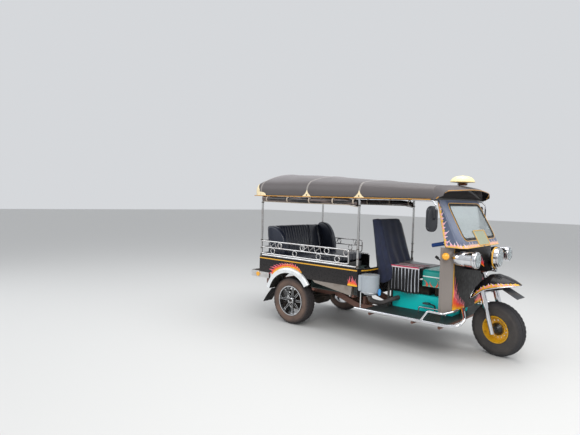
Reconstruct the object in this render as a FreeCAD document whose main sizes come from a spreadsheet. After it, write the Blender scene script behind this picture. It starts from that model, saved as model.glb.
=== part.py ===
import FreeCAD, Part
import math
import os
from types import SimpleNamespace
from FreeCAD import Placement, Rotation, Vector

# Three-wheeled auto rickshaw with a passenger tub under a vinyl canopy.
# Millimetres. X runs forward, Y to the vehicle's left, Z up, the ground is Z 0.
# Stations are measured forward from the rear axle, heights from the ground.

doc = FreeCAD.newDocument("AutoRickshaw")
sheet = doc.addObject("Spreadsheet::Sheet", "sizes")

# Driving sizes: alias, value, what it measures
SIZES = (
    ("axle_station", -857, "rear axle from the middle of the overall length"),
    ("wheelbase", 2117, "rear axle to front axle"),
    ("running_gap", 0.05, "gap between a shaft and its bore, on the radius"),
    ("seat_gap", 0.3, "gap where two fixed pieces meet"),
    ("clear", 6, "gap to a turning piece"),
    ("sheet_wall", 5, "thickness of the pressed panels"),
    ("rear_tyre_radius", 269, "rear tyre outer radius"),
    ("rear_tyre_width", 149, "rear tyre section width"),
    ("rear_rim_radius", 185, "rear rim lip radius"),
    ("rear_wheel_offset", 520, "rear wheel centre from the middle plane"),
    ("rear_hub_radius", 42, "rear hub boss radius"),
    ("spoke_count", 8, "spokes in a rear rim"),
    ("spoke_width", 26, "width of a rear spoke"),
    ("axle_radius", 17, "rear axle shaft radius"),
    ("axle_tube_radius", 36, "rear axle tube radius"),
    ("drum_radius", 110, "rear brake drum radius"),
    ("diff_radius", 105, "differential case radius"),
    ("front_tyre_radius", 258, "front tyre outer radius"),
    ("front_tyre_width", 125, "front tyre section width"),
    ("front_rim_radius", 144, "front rim lip radius"),
    ("front_axle_height", 257.8, "front axle above the ground"),
    ("front_axle_radius", 10, "front axle bolt radius"),
    ("front_hub_radius", 60, "front hub radius"),
    ("rim_hole_count", 14, "holes round the front rim"),
    ("rim_hole_radius", 7, "radius of a front rim hole"),
    ("rake", 16, "lean of the steering axis in degrees"),
    ("steering_rest", -12.9, "steering angle as parked in degrees"),
    ("fork_half_width", 110, "fork leg from the middle plane"),
    ("slider_radius", 22, "lower fork leg radius"),
    ("fork_tube_radius", 27, "upper fork leg radius"),
    ("stem_radius", 20, "steering stem radius"),
    ("head_tube_radius", 32, "steering head tube radius"),
    ("head_bottom", 545, "head tube bottom, along the steering axis"),
    ("head_length", 165, "head tube length"),
    ("bar_radius", 11, "handlebar tube radius"),
    ("grip_radius", 17, "handlebar grip radius"),
    ("rail_offset", 300, "chassis rail from the middle plane"),
    ("rail_height", 60, "chassis rail section height"),
    ("rail_width", 40, "chassis rail section width"),
    ("rail_rear", -615, "rear end of the chassis rails"),
    ("rail_front", 1800, "front end of the chassis rails"),
    ("rail_high", 390, "rail centre height over the rear axle"),
    ("rail_low", 295, "rail centre height under the driver"),
    ("kick_rear", 450, "station where the rails start to drop"),
    ("kick_front", 740, "station where the rails are down"),
    ("tub_half_width", 609, "outer face of the tub side"),
    ("tub_rear", -485, "rear face of the tub"),
    ("tub_corner", 915, "station of the tub's front corner"),
    ("tub_nose", 960, "front face of the tub's front wall"),
    ("tub_nose_half", 460, "half width of the flat of the tub's front"),
    ("tub_top", 745, "top of the tub wall"),
    ("tub_skirt", 555, "lower edge of the tub side"),
    ("deck_height", 600, "underside of the deck below the bench"),
    ("well_floor", 455, "underside of the passenger foot well"),
    ("well_rear", 270, "rear of the foot well"),
    ("well_half_width", 540, "half width of the foot well"),
    ("entry_rear", 300, "rear edge of the doorway on the left"),
    ("entry_front", 840, "front edge of the doorway on the left"),
    ("engine_rear", 1030, "cross tube behind the engine"),
    ("engine_front", 1500, "cross tube ahead of the engine"),
    ("engine_half_width", 150, "half width of the engine"),
    ("bumper_rear", -642, "rear face of the bumper"),
    ("bumper_low", 485, "lower edge of the bumper"),
    ("bumper_height", 73, "height of the bumper"),
    ("flange", 34, "width of the tub's top flange"),
    ("arch_radius", 352, "outer radius of the rear mudguard flare"),
    ("arch_band", 62, "height of the flare's band"),
    ("arch_centre", 300, "height of the mudguard's centre"),
    ("arch_proud", 36, "how far the flare stands out"),
    ("bench_front", 240, "front edge of the bench"),
    ("bench_clear", 64, "gap from the bench to the tub's outer face"),
    ("bench_top", 780, "top of the bench cushion"),
    ("bench_thick", 110, "thickness of the bench cushion"),
    ("post_radius", 13, "canopy post radius"),
    ("rear_post", -468, "station of the rear canopy posts"),
    ("mid_post", 900, "station of the middle canopy posts"),
    ("post_offset", 596, "canopy post from the middle plane"),
    ("rail_tube", 8, "radius of the railing tubes"),
    ("canopy_half_width", 621, "outer face of the canopy side"),
    ("canopy_edge", 1464, "lower edge of the canopy"),
    ("canopy_wall", 6, "thickness of the canopy cover"),
    ("canopy_end", 1700, "station where the canopy meets its visor"),
    ("frame_tube", 10, "radius of the canopy frame tubes"),
    ("curtain_radius", 27, "radius of the rolled curtain"),
    ("floor_rear", 975, "rear edge of the driver's floor"),
    ("floor_front", 1830, "front edge of the driver's floor"),
    ("floor_half_width", 560, "half width of the driver's floor"),
    ("floor_thick", 14, "thickness of the driver's floor with its mat"),
    ("step_radius", 16, "radius of the side step tube"),
    ("step_offset", 588, "side step tube from the middle plane"),
    ("cover_half_width", 200, "half width of the engine cover"),
    ("cover_top", 500, "top of the engine cover"),
    ("cover_rear", 1095, "rear edge of the engine cover"),
    ("hood_half_width", 232, "half width of the console hood"),
    ("hood_bottom", 600, "lower edge of the console hood"),
    ("hood_top", 765, "top of the console hood"),
    ("seat_half_width", 270, "half width of the driver's seat"),
    ("seat_top", 770, "top of the driver's cushion"),
    ("seat_thick", 100, "thickness of the driver's cushion"),
    ("seat_rear", 1050, "rear edge of the driver's cushion"),
    ("seat_front", 1437, "front edge of the driver's cushion"),
    ("shield_front", 1835, "front face of the leg shield"),
    ("shield_bottom", 425, "lower edge of the leg shield"),
    ("shield_half", 425, "half width of the leg shield's front"),
    ("shield_corner", 1762, "rear edge of the leg shield's side"),
    ("shield_side", 503, "outermost face of the leg shield's side"),
    ("screen_bottom", 1030, "lower edge of the windscreen panel"),
    ("screen_foot", 1958, "front of the windscreen panel at its lower edge"),
    ("screen_head", 1722, "front of the windscreen panel at its top"),
    ("screen_half", 490, "half width of the windscreen panel"),
    ("screen_wall", 12, "thickness of the windscreen panel"),
    ("glass_bottom", 1112, "lower edge of the windscreen glass"),
    ("glass_top", 1448, "upper edge of the windscreen glass"),
    ("glass_half", 420, "half width of the glass at the top"),
    ("glass_thick", 5, "thickness of the glass"),
    ("lamp_height", 935, "centre height of the headlamps"),
    ("side_lamp_offset", 446, "side lamp from the middle plane"),
    ("side_lamp_radius", 76, "side lamp rim radius"),
    ("side_lamp_front", 2052, "front of the side lamp"),
    ("centre_lamp_radius", 93, "centre lamp rim radius"),
    ("centre_lamp_front", 2100, "front of the centre lamp"),
    ("can_radius", 92, "air cleaner radius"),
    ("can_height", 180, "air cleaner height"),
    ("can_bottom", 515, "underside of the air cleaner"),
    ("hose_radius", 24, "air hose radius"),
    ("plate_width", 290, "number plate width"),
    ("plate_right", -120, "right end of the number plate"),
    ("plate_height", 140, "number plate height"),
)

for row, (alias, value, meaning) in enumerate(SIZES, start=1):
    sheet.set("A%d" % row, meaning)
    sheet.set("B%d" % row, str(value))
    sheet.setAlias("B%d" % row, alias)
doc.recompute()

s = SimpleNamespace(**{alias: float(sheet.get(alias)) for alias, value, meaning in SIZES})
parts = []
floor_bottom = s.rail_low + s.rail_height / 2 + s.seat_gap
floor_top = floor_bottom + s.floor_thick

# Outlines, sketches and features


def corner(before, point, after, radius):
    """Tangent points and middle of the arc that rounds a corner."""
    back = (before - point).normalize()
    ahead = (after - point).normalize()
    half = back.getAngle(ahead) / 2
    reach = radius / math.tan(half)
    centre = point + (back + ahead).normalize() * (radius / math.sin(half))
    middle = centre + (point - centre).normalize() * radius
    return point + back * reach, middle, point + ahead * reach


def outline(points):
    """Edges of a closed outline. A point is (u, v), (u, v, corner radius) or
    (u, v, middle u, middle v) where an arc leads to it."""
    count = len(points)
    spots = [Vector(p[0], p[1], 0) for p in points]
    starts = list(spots)
    ends = list(spots)
    arcs = {}
    for i, p in enumerate(points):
        if len(p) == 3:
            first, middle, last = corner(spots[i - 1], spots[i], spots[(i + 1) % count], p[2])
            ends[i] = first
            starts[i] = last
            arcs[i] = Part.Arc(first, middle, last)
    edges = []
    for i, p in enumerate(points):
        if len(p) == 4:
            edges.append(Part.Arc(starts[i - 1], Vector(p[2], p[3], 0), ends[i]))
        elif starts[i - 1].distanceToPoint(ends[i]) > 1e-6:
            edges.append(Part.LineSegment(starts[i - 1], ends[i]))
        if i in arcs:
            edges.append(arcs[i])
    return edges


def circle(u, v, radius):
    return [Part.Circle(Vector(u, v, 0), Vector(0, 0, 1), radius)]


def rectangle(u1, v1, u2, v2, radius=0):
    corners = ((u1, v1), (u2, v1), (u2, v2), (u1, v2))
    if radius:
        corners = [(u, v, radius) for u, v in corners]
    return outline(corners)


def new_body(label):
    body = doc.addObject("PartDesign::Body", label)
    body.Label = label
    return body


def origin_of(body, role):
    return next(item for item in body.Origin.OriginFeatures if item.Role == role)


def add_sketch(body, plane, offset, loops):
    """Sketch of closed loops on one of the body's own planes."""
    sketch = body.newObject("Sketcher::SketchObject", "Sketch")
    sketch.AttachmentSupport = [(origin_of(body, plane), "")]
    sketch.MapMode = "FlatFace"
    sketch.AttachmentOffset = Placement(Vector(0, 0, offset), Rotation())
    for loop in loops:
        sketch.addGeometry(loop, False)
    return sketch


def extrude(body, kind, plane, offset, loops, length, both=False, back=False):
    """Pad or Pocket of a sketch. Length is a sheet expression or a number."""
    feature = body.newObject("PartDesign::" + kind, kind)
    feature.Profile = add_sketch(body, plane, offset, loops)
    if isinstance(length, str):
        feature.setExpression("Length", length)
    else:
        feature.Length = length
    feature.Midplane = both
    feature.Reversed = back
    body.Tip = feature
    return feature


def cut_through(body, plane, offset, loops, length, both=False, back=False):
    """Pocket that has to take material away."""
    doc.recompute()
    before = body.Shape.Volume
    pocket = extrude(body, "Pocket", plane, offset, loops, length, both, back)
    doc.recompute()
    if body.Shape.Volume > before - 1:
        raise ValueError("a pocket in %s cuts nothing" % body.Label)
    return pocket


def turn(body, kind, plane, loops, axis):
    """Revolution or Groove about one of the body's own axes."""
    feature = body.newObject("PartDesign::" + kind, kind)
    feature.Profile = add_sketch(body, plane, 0, loops)
    feature.ReferenceAxis = (origin_of(body, axis), [""])
    feature.Angle = 360
    body.Tip = feature
    return feature


def polar(body, feature, axis, count):
    pattern = body.newObject("PartDesign::PolarPattern", "PolarPattern")
    pattern.Originals = [feature]
    pattern.Axis = (origin_of(body, axis), [""])
    pattern.Angle = 360
    pattern.setExpression("Occurrences", count)
    body.Tip = pattern
    return pattern


def solid_feature(label, shape):
    """A sub-part whose shape comes from sweeps, lofts or unions."""
    feature = doc.addObject("Part::Feature", label)
    feature.Label = label
    feature.Shape = shape
    return feature


def keep(item, placement=None):
    """Adds a sub-part to the model and stands it on the rear axle's station."""
    if placement is not None:
        item.Placement = placement.multiply(item.Placement)
    else:
        item.setExpression("Placement.Base.x", "sizes.axle_station + %.6g" % item.Placement.Base.x)
    parts.append(item)
    return item


def path_wire(points, bend):
    """Straight runs joined by tangent arcs."""
    spots = [Vector(*p) for p in points]
    edges = []
    start = spots[0]
    for before, point, after in zip(spots, spots[1:], spots[2:]):
        first, middle, last = corner(before, point, after, bend)
        edges.append(Part.LineSegment(start, first).toShape())
        edges.append(Part.Arc(first, middle, last).toShape())
        start = last
    edges.append(Part.LineSegment(start, spots[-1]).toShape())
    return Part.Wire(edges)


def swept(wire, radius):
    start = wire.OrderedEdges[0]
    direction = start.tangentAt(start.FirstParameter)
    ring = Part.Circle(start.valueAt(start.FirstParameter), direction, radius).toShape()
    return wire.makePipeShell([Part.Wire([ring])], True, False)


def tube(points, radius, bend=40):
    return swept(path_wire(points, bend), radius)


def rod(start, end, radius):
    start = Vector(*start)
    run = Vector(*end) - start
    return Part.makeCylinder(radius, run.Length, start, run)


def block(x1, y1, z1, x2, y2, z2):
    return Part.makeBox(x2 - x1, y2 - y1, z2 - z1, Vector(x1, y1, z1))


def fused(shapes):
    joined = shapes[0].multiFuse(shapes[1:]) if len(shapes) > 1 else shapes[0]
    return joined.removeSplitter()


def prism(plane, offset, edges, length):
    """Solid from an outline on the XZ plane (length to +Y) or the XY plane (length up)."""
    wire = Part.Wire([edge.toShape() for edge in edges])
    face = Part.Face(wire)
    if plane == "XZ":
        face.rotate(Vector(0, 0, 0), Vector(1, 0, 0), 90)
        face.translate(Vector(0, offset, 0))
        return face.extrude(Vector(0, length, 0))
    face.translate(Vector(0, 0, offset))
    return face.extrude(Vector(0, 0, length))


SIDES = (("right", -1), ("left", 1))

# Rear wheels: spoked rims and road tyres turning on the axle shaft

half_tyre = s.rear_tyre_width / 2
rim_half = half_tyre - 4
barrel = s.rear_rim_radius - 22
spoke_face = 30


def tyre_profile(radius, width, rim_radius):
    """Closed half section of a tyre: beads, bulged walls and a crowned tread."""
    half = width / 2
    bead = half - 12
    shoulder = radius - 22
    wall = (radius + rim_radius) / 2
    inner = rim_radius - 14
    return outline((
        (-bead, inner, -half + 2, (wall + inner) / 2), (bead, inner),
        (half, wall, half - 2, (wall + inner) / 2),
        (half - 16, radius - 8, half - 3, shoulder), (-half + 16, radius - 8, 0, radius),
        (-half, wall, -half + 3, shoulder)))


def wheel_tyre(label, radius, width, rim_radius):
    body = new_body(label)
    turn(body, "Revolution", "YZ_Plane", [tyre_profile(radius, width, rim_radius)], "Y_Axis")
    return body


def rear_rim(label, side):
    """Alloy rim: stepped barrel, dished lip, hub boss and eight spokes."""
    body = new_body(label)
    outer = s.rear_rim_radius
    seat = outer - 14 - s.seat_gap
    lip = side * rim_half
    bead = side * (half_tyre - 12 - s.seat_gap)
    face = side * spoke_face
    bore = s.axle_radius + s.running_gap
    barrel_loop = outline((
        (-lip, seat), (lip, seat), (lip, outer - 24), (face, barrel - 8), (-lip, barrel - 2)))
    turn(body, "Revolution", "YZ_Plane", [barrel_loop], "Y_Axis")
    hub_loop = outline((
        (side * 2, bore), (side * 48, bore), (side * 48, s.rear_hub_radius - 12),
        (side * 40, s.rear_hub_radius), (side * 2, s.rear_hub_radius)))
    turn(body, "Revolution", "YZ_Plane", [hub_loop], "Y_Axis")
    half = s.spoke_width / 2
    spoke = extrude(body, "Pad", "XZ_Plane", -side * 14, [outline((
        (-half, s.rear_hub_radius - 4), (half, s.rear_hub_radius - 4),
        (half * 0.7, barrel), (-half * 0.7, barrel)))], 16, back=side > 0)
    polar(body, spoke, "Y_Axis", "sizes.spoke_count")
    return body


for name, side in SIDES:
    centre = Vector(s.axle_station, side * s.rear_wheel_offset, s.rear_tyre_radius)
    keep(rear_rim("rear_%s_rim" % name, side), Placement(centre, Rotation()))
    tyre = wheel_tyre("rear_%s_tyre" % name, s.rear_tyre_radius, s.rear_tyre_width,
                      s.rear_rim_radius)
    keep(tyre, Placement(centre, Rotation()))

# Rear axle: tube, differential, brake drums and the shafts the wheels turn on

axle = new_body("rear_axle")
hub_inner = s.rear_wheel_offset + 2
drum_end = s.rear_wheel_offset - rim_half + 42
axle_half = (
    (0, 0), (0, s.diff_radius), (70, s.diff_radius), (115, s.axle_tube_radius),
    (drum_end - 60, s.axle_tube_radius), (drum_end - 60, s.drum_radius),
    (drum_end, s.drum_radius), (drum_end, s.axle_radius + 10),
    (hub_inner - s.seat_gap, s.axle_radius + 10), (hub_inner - s.seat_gap, s.axle_radius),
    (hub_inner + 55, s.axle_radius), (hub_inner + 55, 0))
axle_loop = axle_half + tuple((-u, v) for u, v in reversed(axle_half[1:-1]))
left_tip = (-(hub_inner + 55), 0)
turn(axle, "Revolution", "YZ_Plane", [outline(axle_half[1:] + (left_tip,) + axle_loop[len(axle_half):])],
     "Y_Axis")
keep(axle, Placement(Vector(s.axle_station, 0, s.rear_tyre_radius), Rotation()))

# Leaf springs: an arched pack of leaves under each rail with its shackle

spring_seat = s.rear_tyre_radius + s.axle_tube_radius + s.seat_gap
spring_eye = 430
spring_rise = 26
spring_width = 50
leaf_thick = 8
rail_side = s.rail_offset + s.rail_width / 2 + s.seat_gap
spring_packs = []
for name, side in SIDES:
    leaves = []
    y = side * (rail_side + 30) - spring_width / 2
    for count, reach in enumerate((170, 300, spring_eye)):
        low = spring_seat + leaf_thick * count
        rise = spring_rise * (reach / spring_eye) ** 2
        leaves.append(prism("XZ", y, outline((
            (-reach, low + rise, 0, low), (-reach, low + rise + leaf_thick),
            (reach, low + rise + leaf_thick, 0, low + leaf_thick), (reach, low + rise))), spring_width))
    eye_height = spring_seat + 2 * leaf_thick + spring_rise - 4
    hanger_low, hanger_high = sorted((side * rail_side, side * (rail_side + 55)))
    for end in (-spring_eye, spring_eye):
        leaves.append(Part.makeCylinder(12, spring_width, Vector(end, y, eye_height), Vector(0, 1, 0)))
        leaves.append(block(end - 8, hanger_low, eye_height, end + 8, hanger_high, eye_height + 36))
    spring_packs.append(fused(leaves))
keep(solid_feature("leaf_springs", Part.makeCompound(spring_packs)))

# Steering geometry: the axis leans back through the front axle centre

lean = Rotation(Vector(0, 1, 0), -s.rake)
steer_axis = lean.multVec(Vector(0, 0, 1))
front_centre = Vector(s.axle_station + s.wheelbase, 0, s.front_axle_height)
steered = Placement(front_centre, Rotation(steer_axis, s.steering_rest))


def on_axis(distance, forward=0, across=0):
    """Point given along the steering axis, with the wheels straight ahead."""
    return lean.multVec(Vector(forward, across, distance))


def head_point(distance):
    """The same point on the axis, from the rear axle's station."""
    spot = on_axis(distance)
    return (s.wheelbase + spot.x, spot.y, s.front_axle_height + spot.z)


# Chassis: two rails that kick up over the axle, cross tubes, neck and steering head

frame_pieces = []
half_rail = s.rail_height / 2
for name, side in SIDES:
    rail = outline((
        (s.rail_rear, s.rail_high - half_rail), (s.kick_rear, s.rail_high - half_rail),
        (s.kick_front, s.rail_low - half_rail), (s.rail_front, s.rail_low - half_rail),
        (s.rail_front, s.rail_low + half_rail), (s.kick_front + 12, s.rail_low + half_rail),
        (s.kick_rear + 12, s.rail_high + half_rail), (s.rail_rear, s.rail_high + half_rail)))
    frame_pieces.append(prism("XZ", side * s.rail_offset - s.rail_width / 2, rail, s.rail_width))
cross_tubes = (  # station, height, radius
    (s.rail_rear + 30, s.rail_high, 20), (s.kick_rear - 250, s.rail_high, 20),
    (s.engine_rear, s.rail_low, 22), (s.engine_front, s.rail_low, 22),
    (s.rail_front - 30, s.rail_low, 25))
for station, height, radius in cross_tubes:
    frame_pieces.append(rod((station, -s.rail_offset, height), (station, s.rail_offset, height), radius))
for station, height, radius in cross_tubes[2:]:
    for name, side in SIDES:
        frame_pieces.append(rod((station, side * s.rail_offset, height),
                                (station, side * (s.floor_half_width - 12), height), 14))
bearers = (  # station, height of the rail there, top, half width
    (-435, s.rail_high, s.deck_height - s.seat_gap, s.tub_half_width - 30),
    (250, s.rail_high, s.well_floor - s.seat_gap, s.rail_offset),
    (290, s.rail_high, s.well_floor - s.seat_gap, s.well_half_width),
    (820, s.rail_low, s.well_floor - s.seat_gap, s.well_half_width))
for station, height, top, half in bearers:
    frame_pieces.append(block(station - 14, -half, top - 28, station + 14, half, top))
    for name, side in SIDES:
        y = side * s.rail_offset
        frame_pieces.append(block(station - 14, y - 14, height, station + 14, y + 14, top - 10))
for name, side in SIDES:
    y = side * s.rail_offset
    frame_pieces.append(block(s.bumper_rear + s.sheet_wall + s.seat_gap, y - 15,
                              s.rail_high - s.rail_height / 2, s.rail_rear + 10, y + 15,
                              s.bumper_low + 40))
neck_station = s.rail_front - 30
neck_height = head_point(s.head_bottom + s.head_length / 2)[2]
frame_pieces.append(rod((neck_station, 0, s.rail_low), (neck_station, 0, neck_height + 24), 24))
head_middle = head_point(s.head_bottom + s.head_length / 2)
frame_pieces.append(block(neck_station, -18, neck_height - 34, head_middle[0] - 20, 18, neck_height + 22))
head_start = Vector(*head_point(s.head_bottom))
head_shape = Part.makeCylinder(s.head_tube_radius, s.head_length, head_start, steer_axis)
head_bore = Part.makeCylinder(s.stem_radius + s.running_gap, s.head_length + 40,
                              head_start - steer_axis * 20, steer_axis)
frame_pieces.append(head_shape)
chassis = solid_feature("chassis_frame", fused(frame_pieces).cut(head_bore))
keep(chassis)

# Engine: one plain block under the driver's seat, and the exhaust below it

engine = doc.addObject("Part::Box", "engine_block")
engine.Label = "engine_block"
cross_gap = cross_tubes[2][2] + s.seat_gap
engine.setExpression("Length", "sizes.engine_front - sizes.engine_rear - %g" % (2 * cross_gap))
engine.setExpression("Width", "2 * sizes.engine_half_width")
engine.Height = 310
engine_low = s.rail_low - 10
engine.Placement.Base = Vector(0, -s.engine_half_width, engine_low)
engine.setExpression("Placement.Base.x", "sizes.axle_station + sizes.engine_rear + %g" % cross_gap)
parts.append(engine)

exhaust = fused([
    tube(((1200, 100, engine_low - s.seat_gap), (1200, 100, 242), (1000, 150, 240), (600, 165, 246)),
         18, 24),
    rod((620, 165, 250), (400, 165, 250), 48),
    rod((400, 165, 250), (320, 165, 250), 16)])
keep(solid_feature("exhaust", exhaust))

# Driver's floor with its mat, and the step tubes along its edges

floor = new_body("driver_floor")
extrude(floor, "Pad", "XY_Plane", floor_bottom,
        [rectangle(s.floor_rear, -s.floor_half_width, s.floor_front, s.floor_half_width, 12)],
        "sizes.floor_thick")
well_half = s.engine_half_width + 12
cut_through(floor, "XY_Plane", floor_bottom - 1,
            [rectangle(s.engine_rear + 20, -well_half, s.engine_front - 20, well_half, 4)], 30, back=True)
cut_through(floor, "XY_Plane", floor_bottom - 1, [circle(neck_station, 0, 24 + s.seat_gap)], 30, back=True)
keep(floor)

step_height = floor_top - 4
for name, side in SIDES:
    low = tube((
        (s.floor_rear - 95, side * s.step_offset, step_height),
        (1860, side * s.step_offset, step_height), (1955, side * 560, step_height + 15),
        (1975, side * 480, 400), (1905, side * 330, 430), (s.shield_front + 20, side * 230, 436)),
        s.step_radius, 45)
    guard = tube((
        (1602, side * s.step_offset, step_height), (1672, side * 582, 438),
        (1800, side * 560, 430), (s.shield_front + 11 + s.seat_gap, side * 430, 440),
        (s.shield_front + 11 + s.seat_gap, side * 320, 440)), 11, 28)
    bracket_rows = ((s.floor_rear + 40,), (1400,), (1790,))
    brackets = [block(station - 20, side * s.floor_half_width + (s.seat_gap if side > 0 else -28),
                      step_height - 12, station + 20,
                      side * s.floor_half_width + (28 if side > 0 else -s.seat_gap),
                      step_height) for station, in bracket_rows]
    keep(solid_feature("step_rail_" + name, fused([low, guard] + brackets)))

# Passenger tub: floor, sides, front and tail panels

tub = new_body("tub_floor")
inner_half = s.tub_half_width - s.sheet_wall - s.seat_gap
deck_rear = s.tub_rear + s.sheet_wall + s.seat_gap
extrude(tub, "Pad", "XY_Plane", s.deck_height,
        [rectangle(deck_rear, -inner_half, s.well_rear, inner_half)], "sizes.sheet_wall")
extrude(tub, "Pad", "XY_Plane", s.well_floor,
        [rectangle(s.well_rear - s.sheet_wall, -s.well_half_width, s.well_rear, s.well_half_width)],
        s.deck_height - s.well_floor + s.sheet_wall)
extrude(tub, "Pad", "XY_Plane", s.well_floor,
        [rectangle(s.well_rear - s.sheet_wall, -s.well_half_width,
                   s.tub_corner - s.seat_gap, s.well_half_width)], "sizes.sheet_wall")
keep(tub)

arch_cut = s.arch_radius + s.seat_gap


def tub_side(label, side, door):
    """Side panel with its wheel arch cut, an inward top flange and perhaps a doorway."""
    body = new_body(label)
    front = s.tub_corner - s.seat_gap
    lift = s.tub_skirt - s.arch_centre
    reach = math.sqrt(arch_cut ** 2 - lift ** 2)
    top_edge = [(front, s.tub_top)]
    flanges = [(s.tub_rear, front)]
    if door:
        sill = s.tub_skirt + 24
        top_edge += [(s.entry_front, s.tub_top), (s.entry_front, sill, 30), (s.entry_rear, sill, 30),
                     (s.entry_rear, s.tub_top)]
        flanges = [(s.tub_rear, s.entry_rear), (s.entry_front, front)]
    panel = outline([
        (s.tub_rear, s.tub_skirt), (-reach, s.tub_skirt),
        (reach, s.tub_skirt, 0, s.arch_centre + arch_cut),
        (front, s.tub_skirt)] + top_edge + [(s.tub_rear, s.tub_top)])
    extrude(body, "Pad", "XZ_Plane", -side * s.tub_half_width, [panel], "sizes.sheet_wall",
            back=side < 0)
    low, high = sorted((side * s.tub_half_width, side * (s.tub_half_width - s.flange)))
    for rear, ahead in flanges:
        extrude(body, "Pad", "XY_Plane", s.tub_top - s.sheet_wall,
                [rectangle(rear, low, ahead, high)], "sizes.sheet_wall")
    return body


keep(tub_side("tub_side_right", -1, False))
keep(tub_side("tub_side_left", 1, True))

front_wall = new_body("tub_front")
wall = s.sheet_wall
front_plan = outline((
    (s.tub_corner, -s.tub_half_width), (s.tub_nose, -s.tub_nose_half, 60),
    (s.tub_nose, s.tub_nose_half, 60), (s.tub_corner, s.tub_half_width),
    (s.tub_corner, s.tub_half_width - 14), (s.tub_nose - wall, s.tub_nose_half - 4, 55),
    (s.tub_nose - wall, -s.tub_nose_half + 4, 55), (s.tub_corner, -s.tub_half_width + 14)))
extrude(front_wall, "Pad", "XY_Plane", s.well_floor, [front_plan], s.tub_top - s.well_floor)
keep(front_wall)

tail = new_body("tub_tail")
tail_half = s.tub_half_width - s.sheet_wall - s.seat_gap
extrude(tail, "Pad", "YZ_Plane", s.tub_rear,
        [rectangle(-tail_half, s.bumper_low + s.bumper_height + 2, tail_half,
                   s.tub_top - wall - s.seat_gap)],
        "sizes.sheet_wall")
keep(tail)

# Sill boxes of folded aluminium below the tub sides, tapering to the rear

sill_top = s.tub_skirt - s.seat_gap
sill_loop = ((330, sill_top), (360, sill_top - 24), (838, s.well_floor, 12), (848, sill_top, 4))
sills = [prism("XZ", side * (s.tub_half_width - 28) - 25, outline(sill_loop), 50) for name, side in SIDES]
keep(solid_feature("sill_boxes", Part.makeCompound(sills)))

# Rear mudguards: a bright rounded flare over a liner, with a rubber flap behind

arch_start = 34
arch_sweep = 130
liner_width = 165
for name, side in SIDES:
    arch = new_body("rear_arch_" + name)
    inner = s.arch_radius - s.arch_band
    face = side * (s.tub_half_width + s.arch_proud)
    seat = side * (s.tub_half_width + s.seat_gap)
    liner = side * (s.tub_half_width - liner_width)
    sweep = turn(arch, "Revolution", "XY_Plane", [outline((
        (inner, liner), (inner, face, 8), (s.arch_radius, face, 24), (s.arch_radius, seat),
        (inner + 4, seat), (inner + 4, liner)))], "Y_Axis")
    sweep.Angle = arch_sweep
    sweep.Reversed = True
    keep(arch, Placement(Vector(s.axle_station, 0, s.arch_centre),
                         Rotation(Vector(0, 1, 0), -arch_start)))

flap_angle = math.radians(arch_start + arch_sweep)


def flap_top(radius):
    """Point just below the mudguard's rear end, at a radius from its centre."""
    return (radius * math.cos(flap_angle) - s.seat_gap * math.sin(flap_angle),
            s.arch_centre + radius * math.sin(flap_angle) + s.seat_gap * math.cos(flap_angle))


flaps = [prism("XZ", side * (s.tub_half_width - 80) - 75, outline((
    flap_top(289), (-412, 197), (-418, 197), flap_top(294))), 150) for name, side in SIDES]
keep(solid_feature("mud_flaps", Part.makeCompound(flaps)))

# Rear bumper: a bright channel round the tail

bumper_side = 602
bumper_plan = outline((
    (-335, -bumper_side), (s.bumper_rear, -bumper_side, 30), (s.bumper_rear, bumper_side, 30),
    (-335, bumper_side), (-335, bumper_side - s.sheet_wall),
    (s.bumper_rear + s.sheet_wall, bumper_side - s.sheet_wall, 25),
    (s.bumper_rear + s.sheet_wall, -bumper_side + s.sheet_wall, 25), (-335, -bumper_side + s.sheet_wall)))
bumper = new_body("rear_bumper")
extrude(bumper, "Pad", "XY_Plane", s.bumper_low, [bumper_plan], "sizes.bumper_height")
keep(bumper)

# Amber lamps: domes on the bumper's sides and back, and balls on stalks at the leg shield

amber_shapes = []
lamp_line = s.bumper_low + s.bumper_height / 2
for name, side in SIDES:
    start = (-507, side * (bumper_side + s.seat_gap), lamp_line)
    amber_shapes.append(rod(start, (-507, side * 614, lamp_line), 26))
    start = (s.bumper_rear - s.seat_gap, side * 470, lamp_line)
    amber_shapes.append(rod(start, (s.bumper_rear - 16, side * 470, lamp_line), 30))
    ball_y = side * (s.shield_side + 16)
    amber_shapes.append(fused([
        rod((1795, side * (s.shield_side - 22), 952), (1795, ball_y, 952), 12),
        Part.makeSphere(34, Vector(1795, ball_y, 952))]))
keep(solid_feature("amber_lamps", Part.makeCompound(amber_shapes)))

# Railings of bright tube round the tub, with rings between the rails

rim_tube = 11
rim_height = s.tub_top + rim_tube + s.seat_gap
rail_heights = (778, 852, 925)
rail_start = s.rear_post + s.post_radius + s.seat_gap


def railing(end, rim_end, stations):
    """Side railing in the XZ plane: a rounded loop, a middle rail, a rim, stubs and rings."""
    low, middle, top = rail_heights
    pieces = [
        tube(((rail_start, 0, top), (end, 0, top), (end, 0, low), (rail_start, 0, low)),
             s.rail_tube, 22),
        rod((rail_start, 0, middle), (end, 0, middle), s.rail_tube - 1),
        rod((rail_start, 0, rim_height), (rim_end, 0, rim_height), rim_tube)]
    for station in stations:
        pieces.append(rod((station, 0, rim_height), (station, 0, low), 6))
        for height in ((low + middle) / 2, (middle + top) / 2):
            centre = Vector(station + (height - middle) * 1.5, 0, height)
            pieces.append(Part.makeTorus(30, 5, centre, Vector(0, 1, 0)))
    return fused(pieces)


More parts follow.
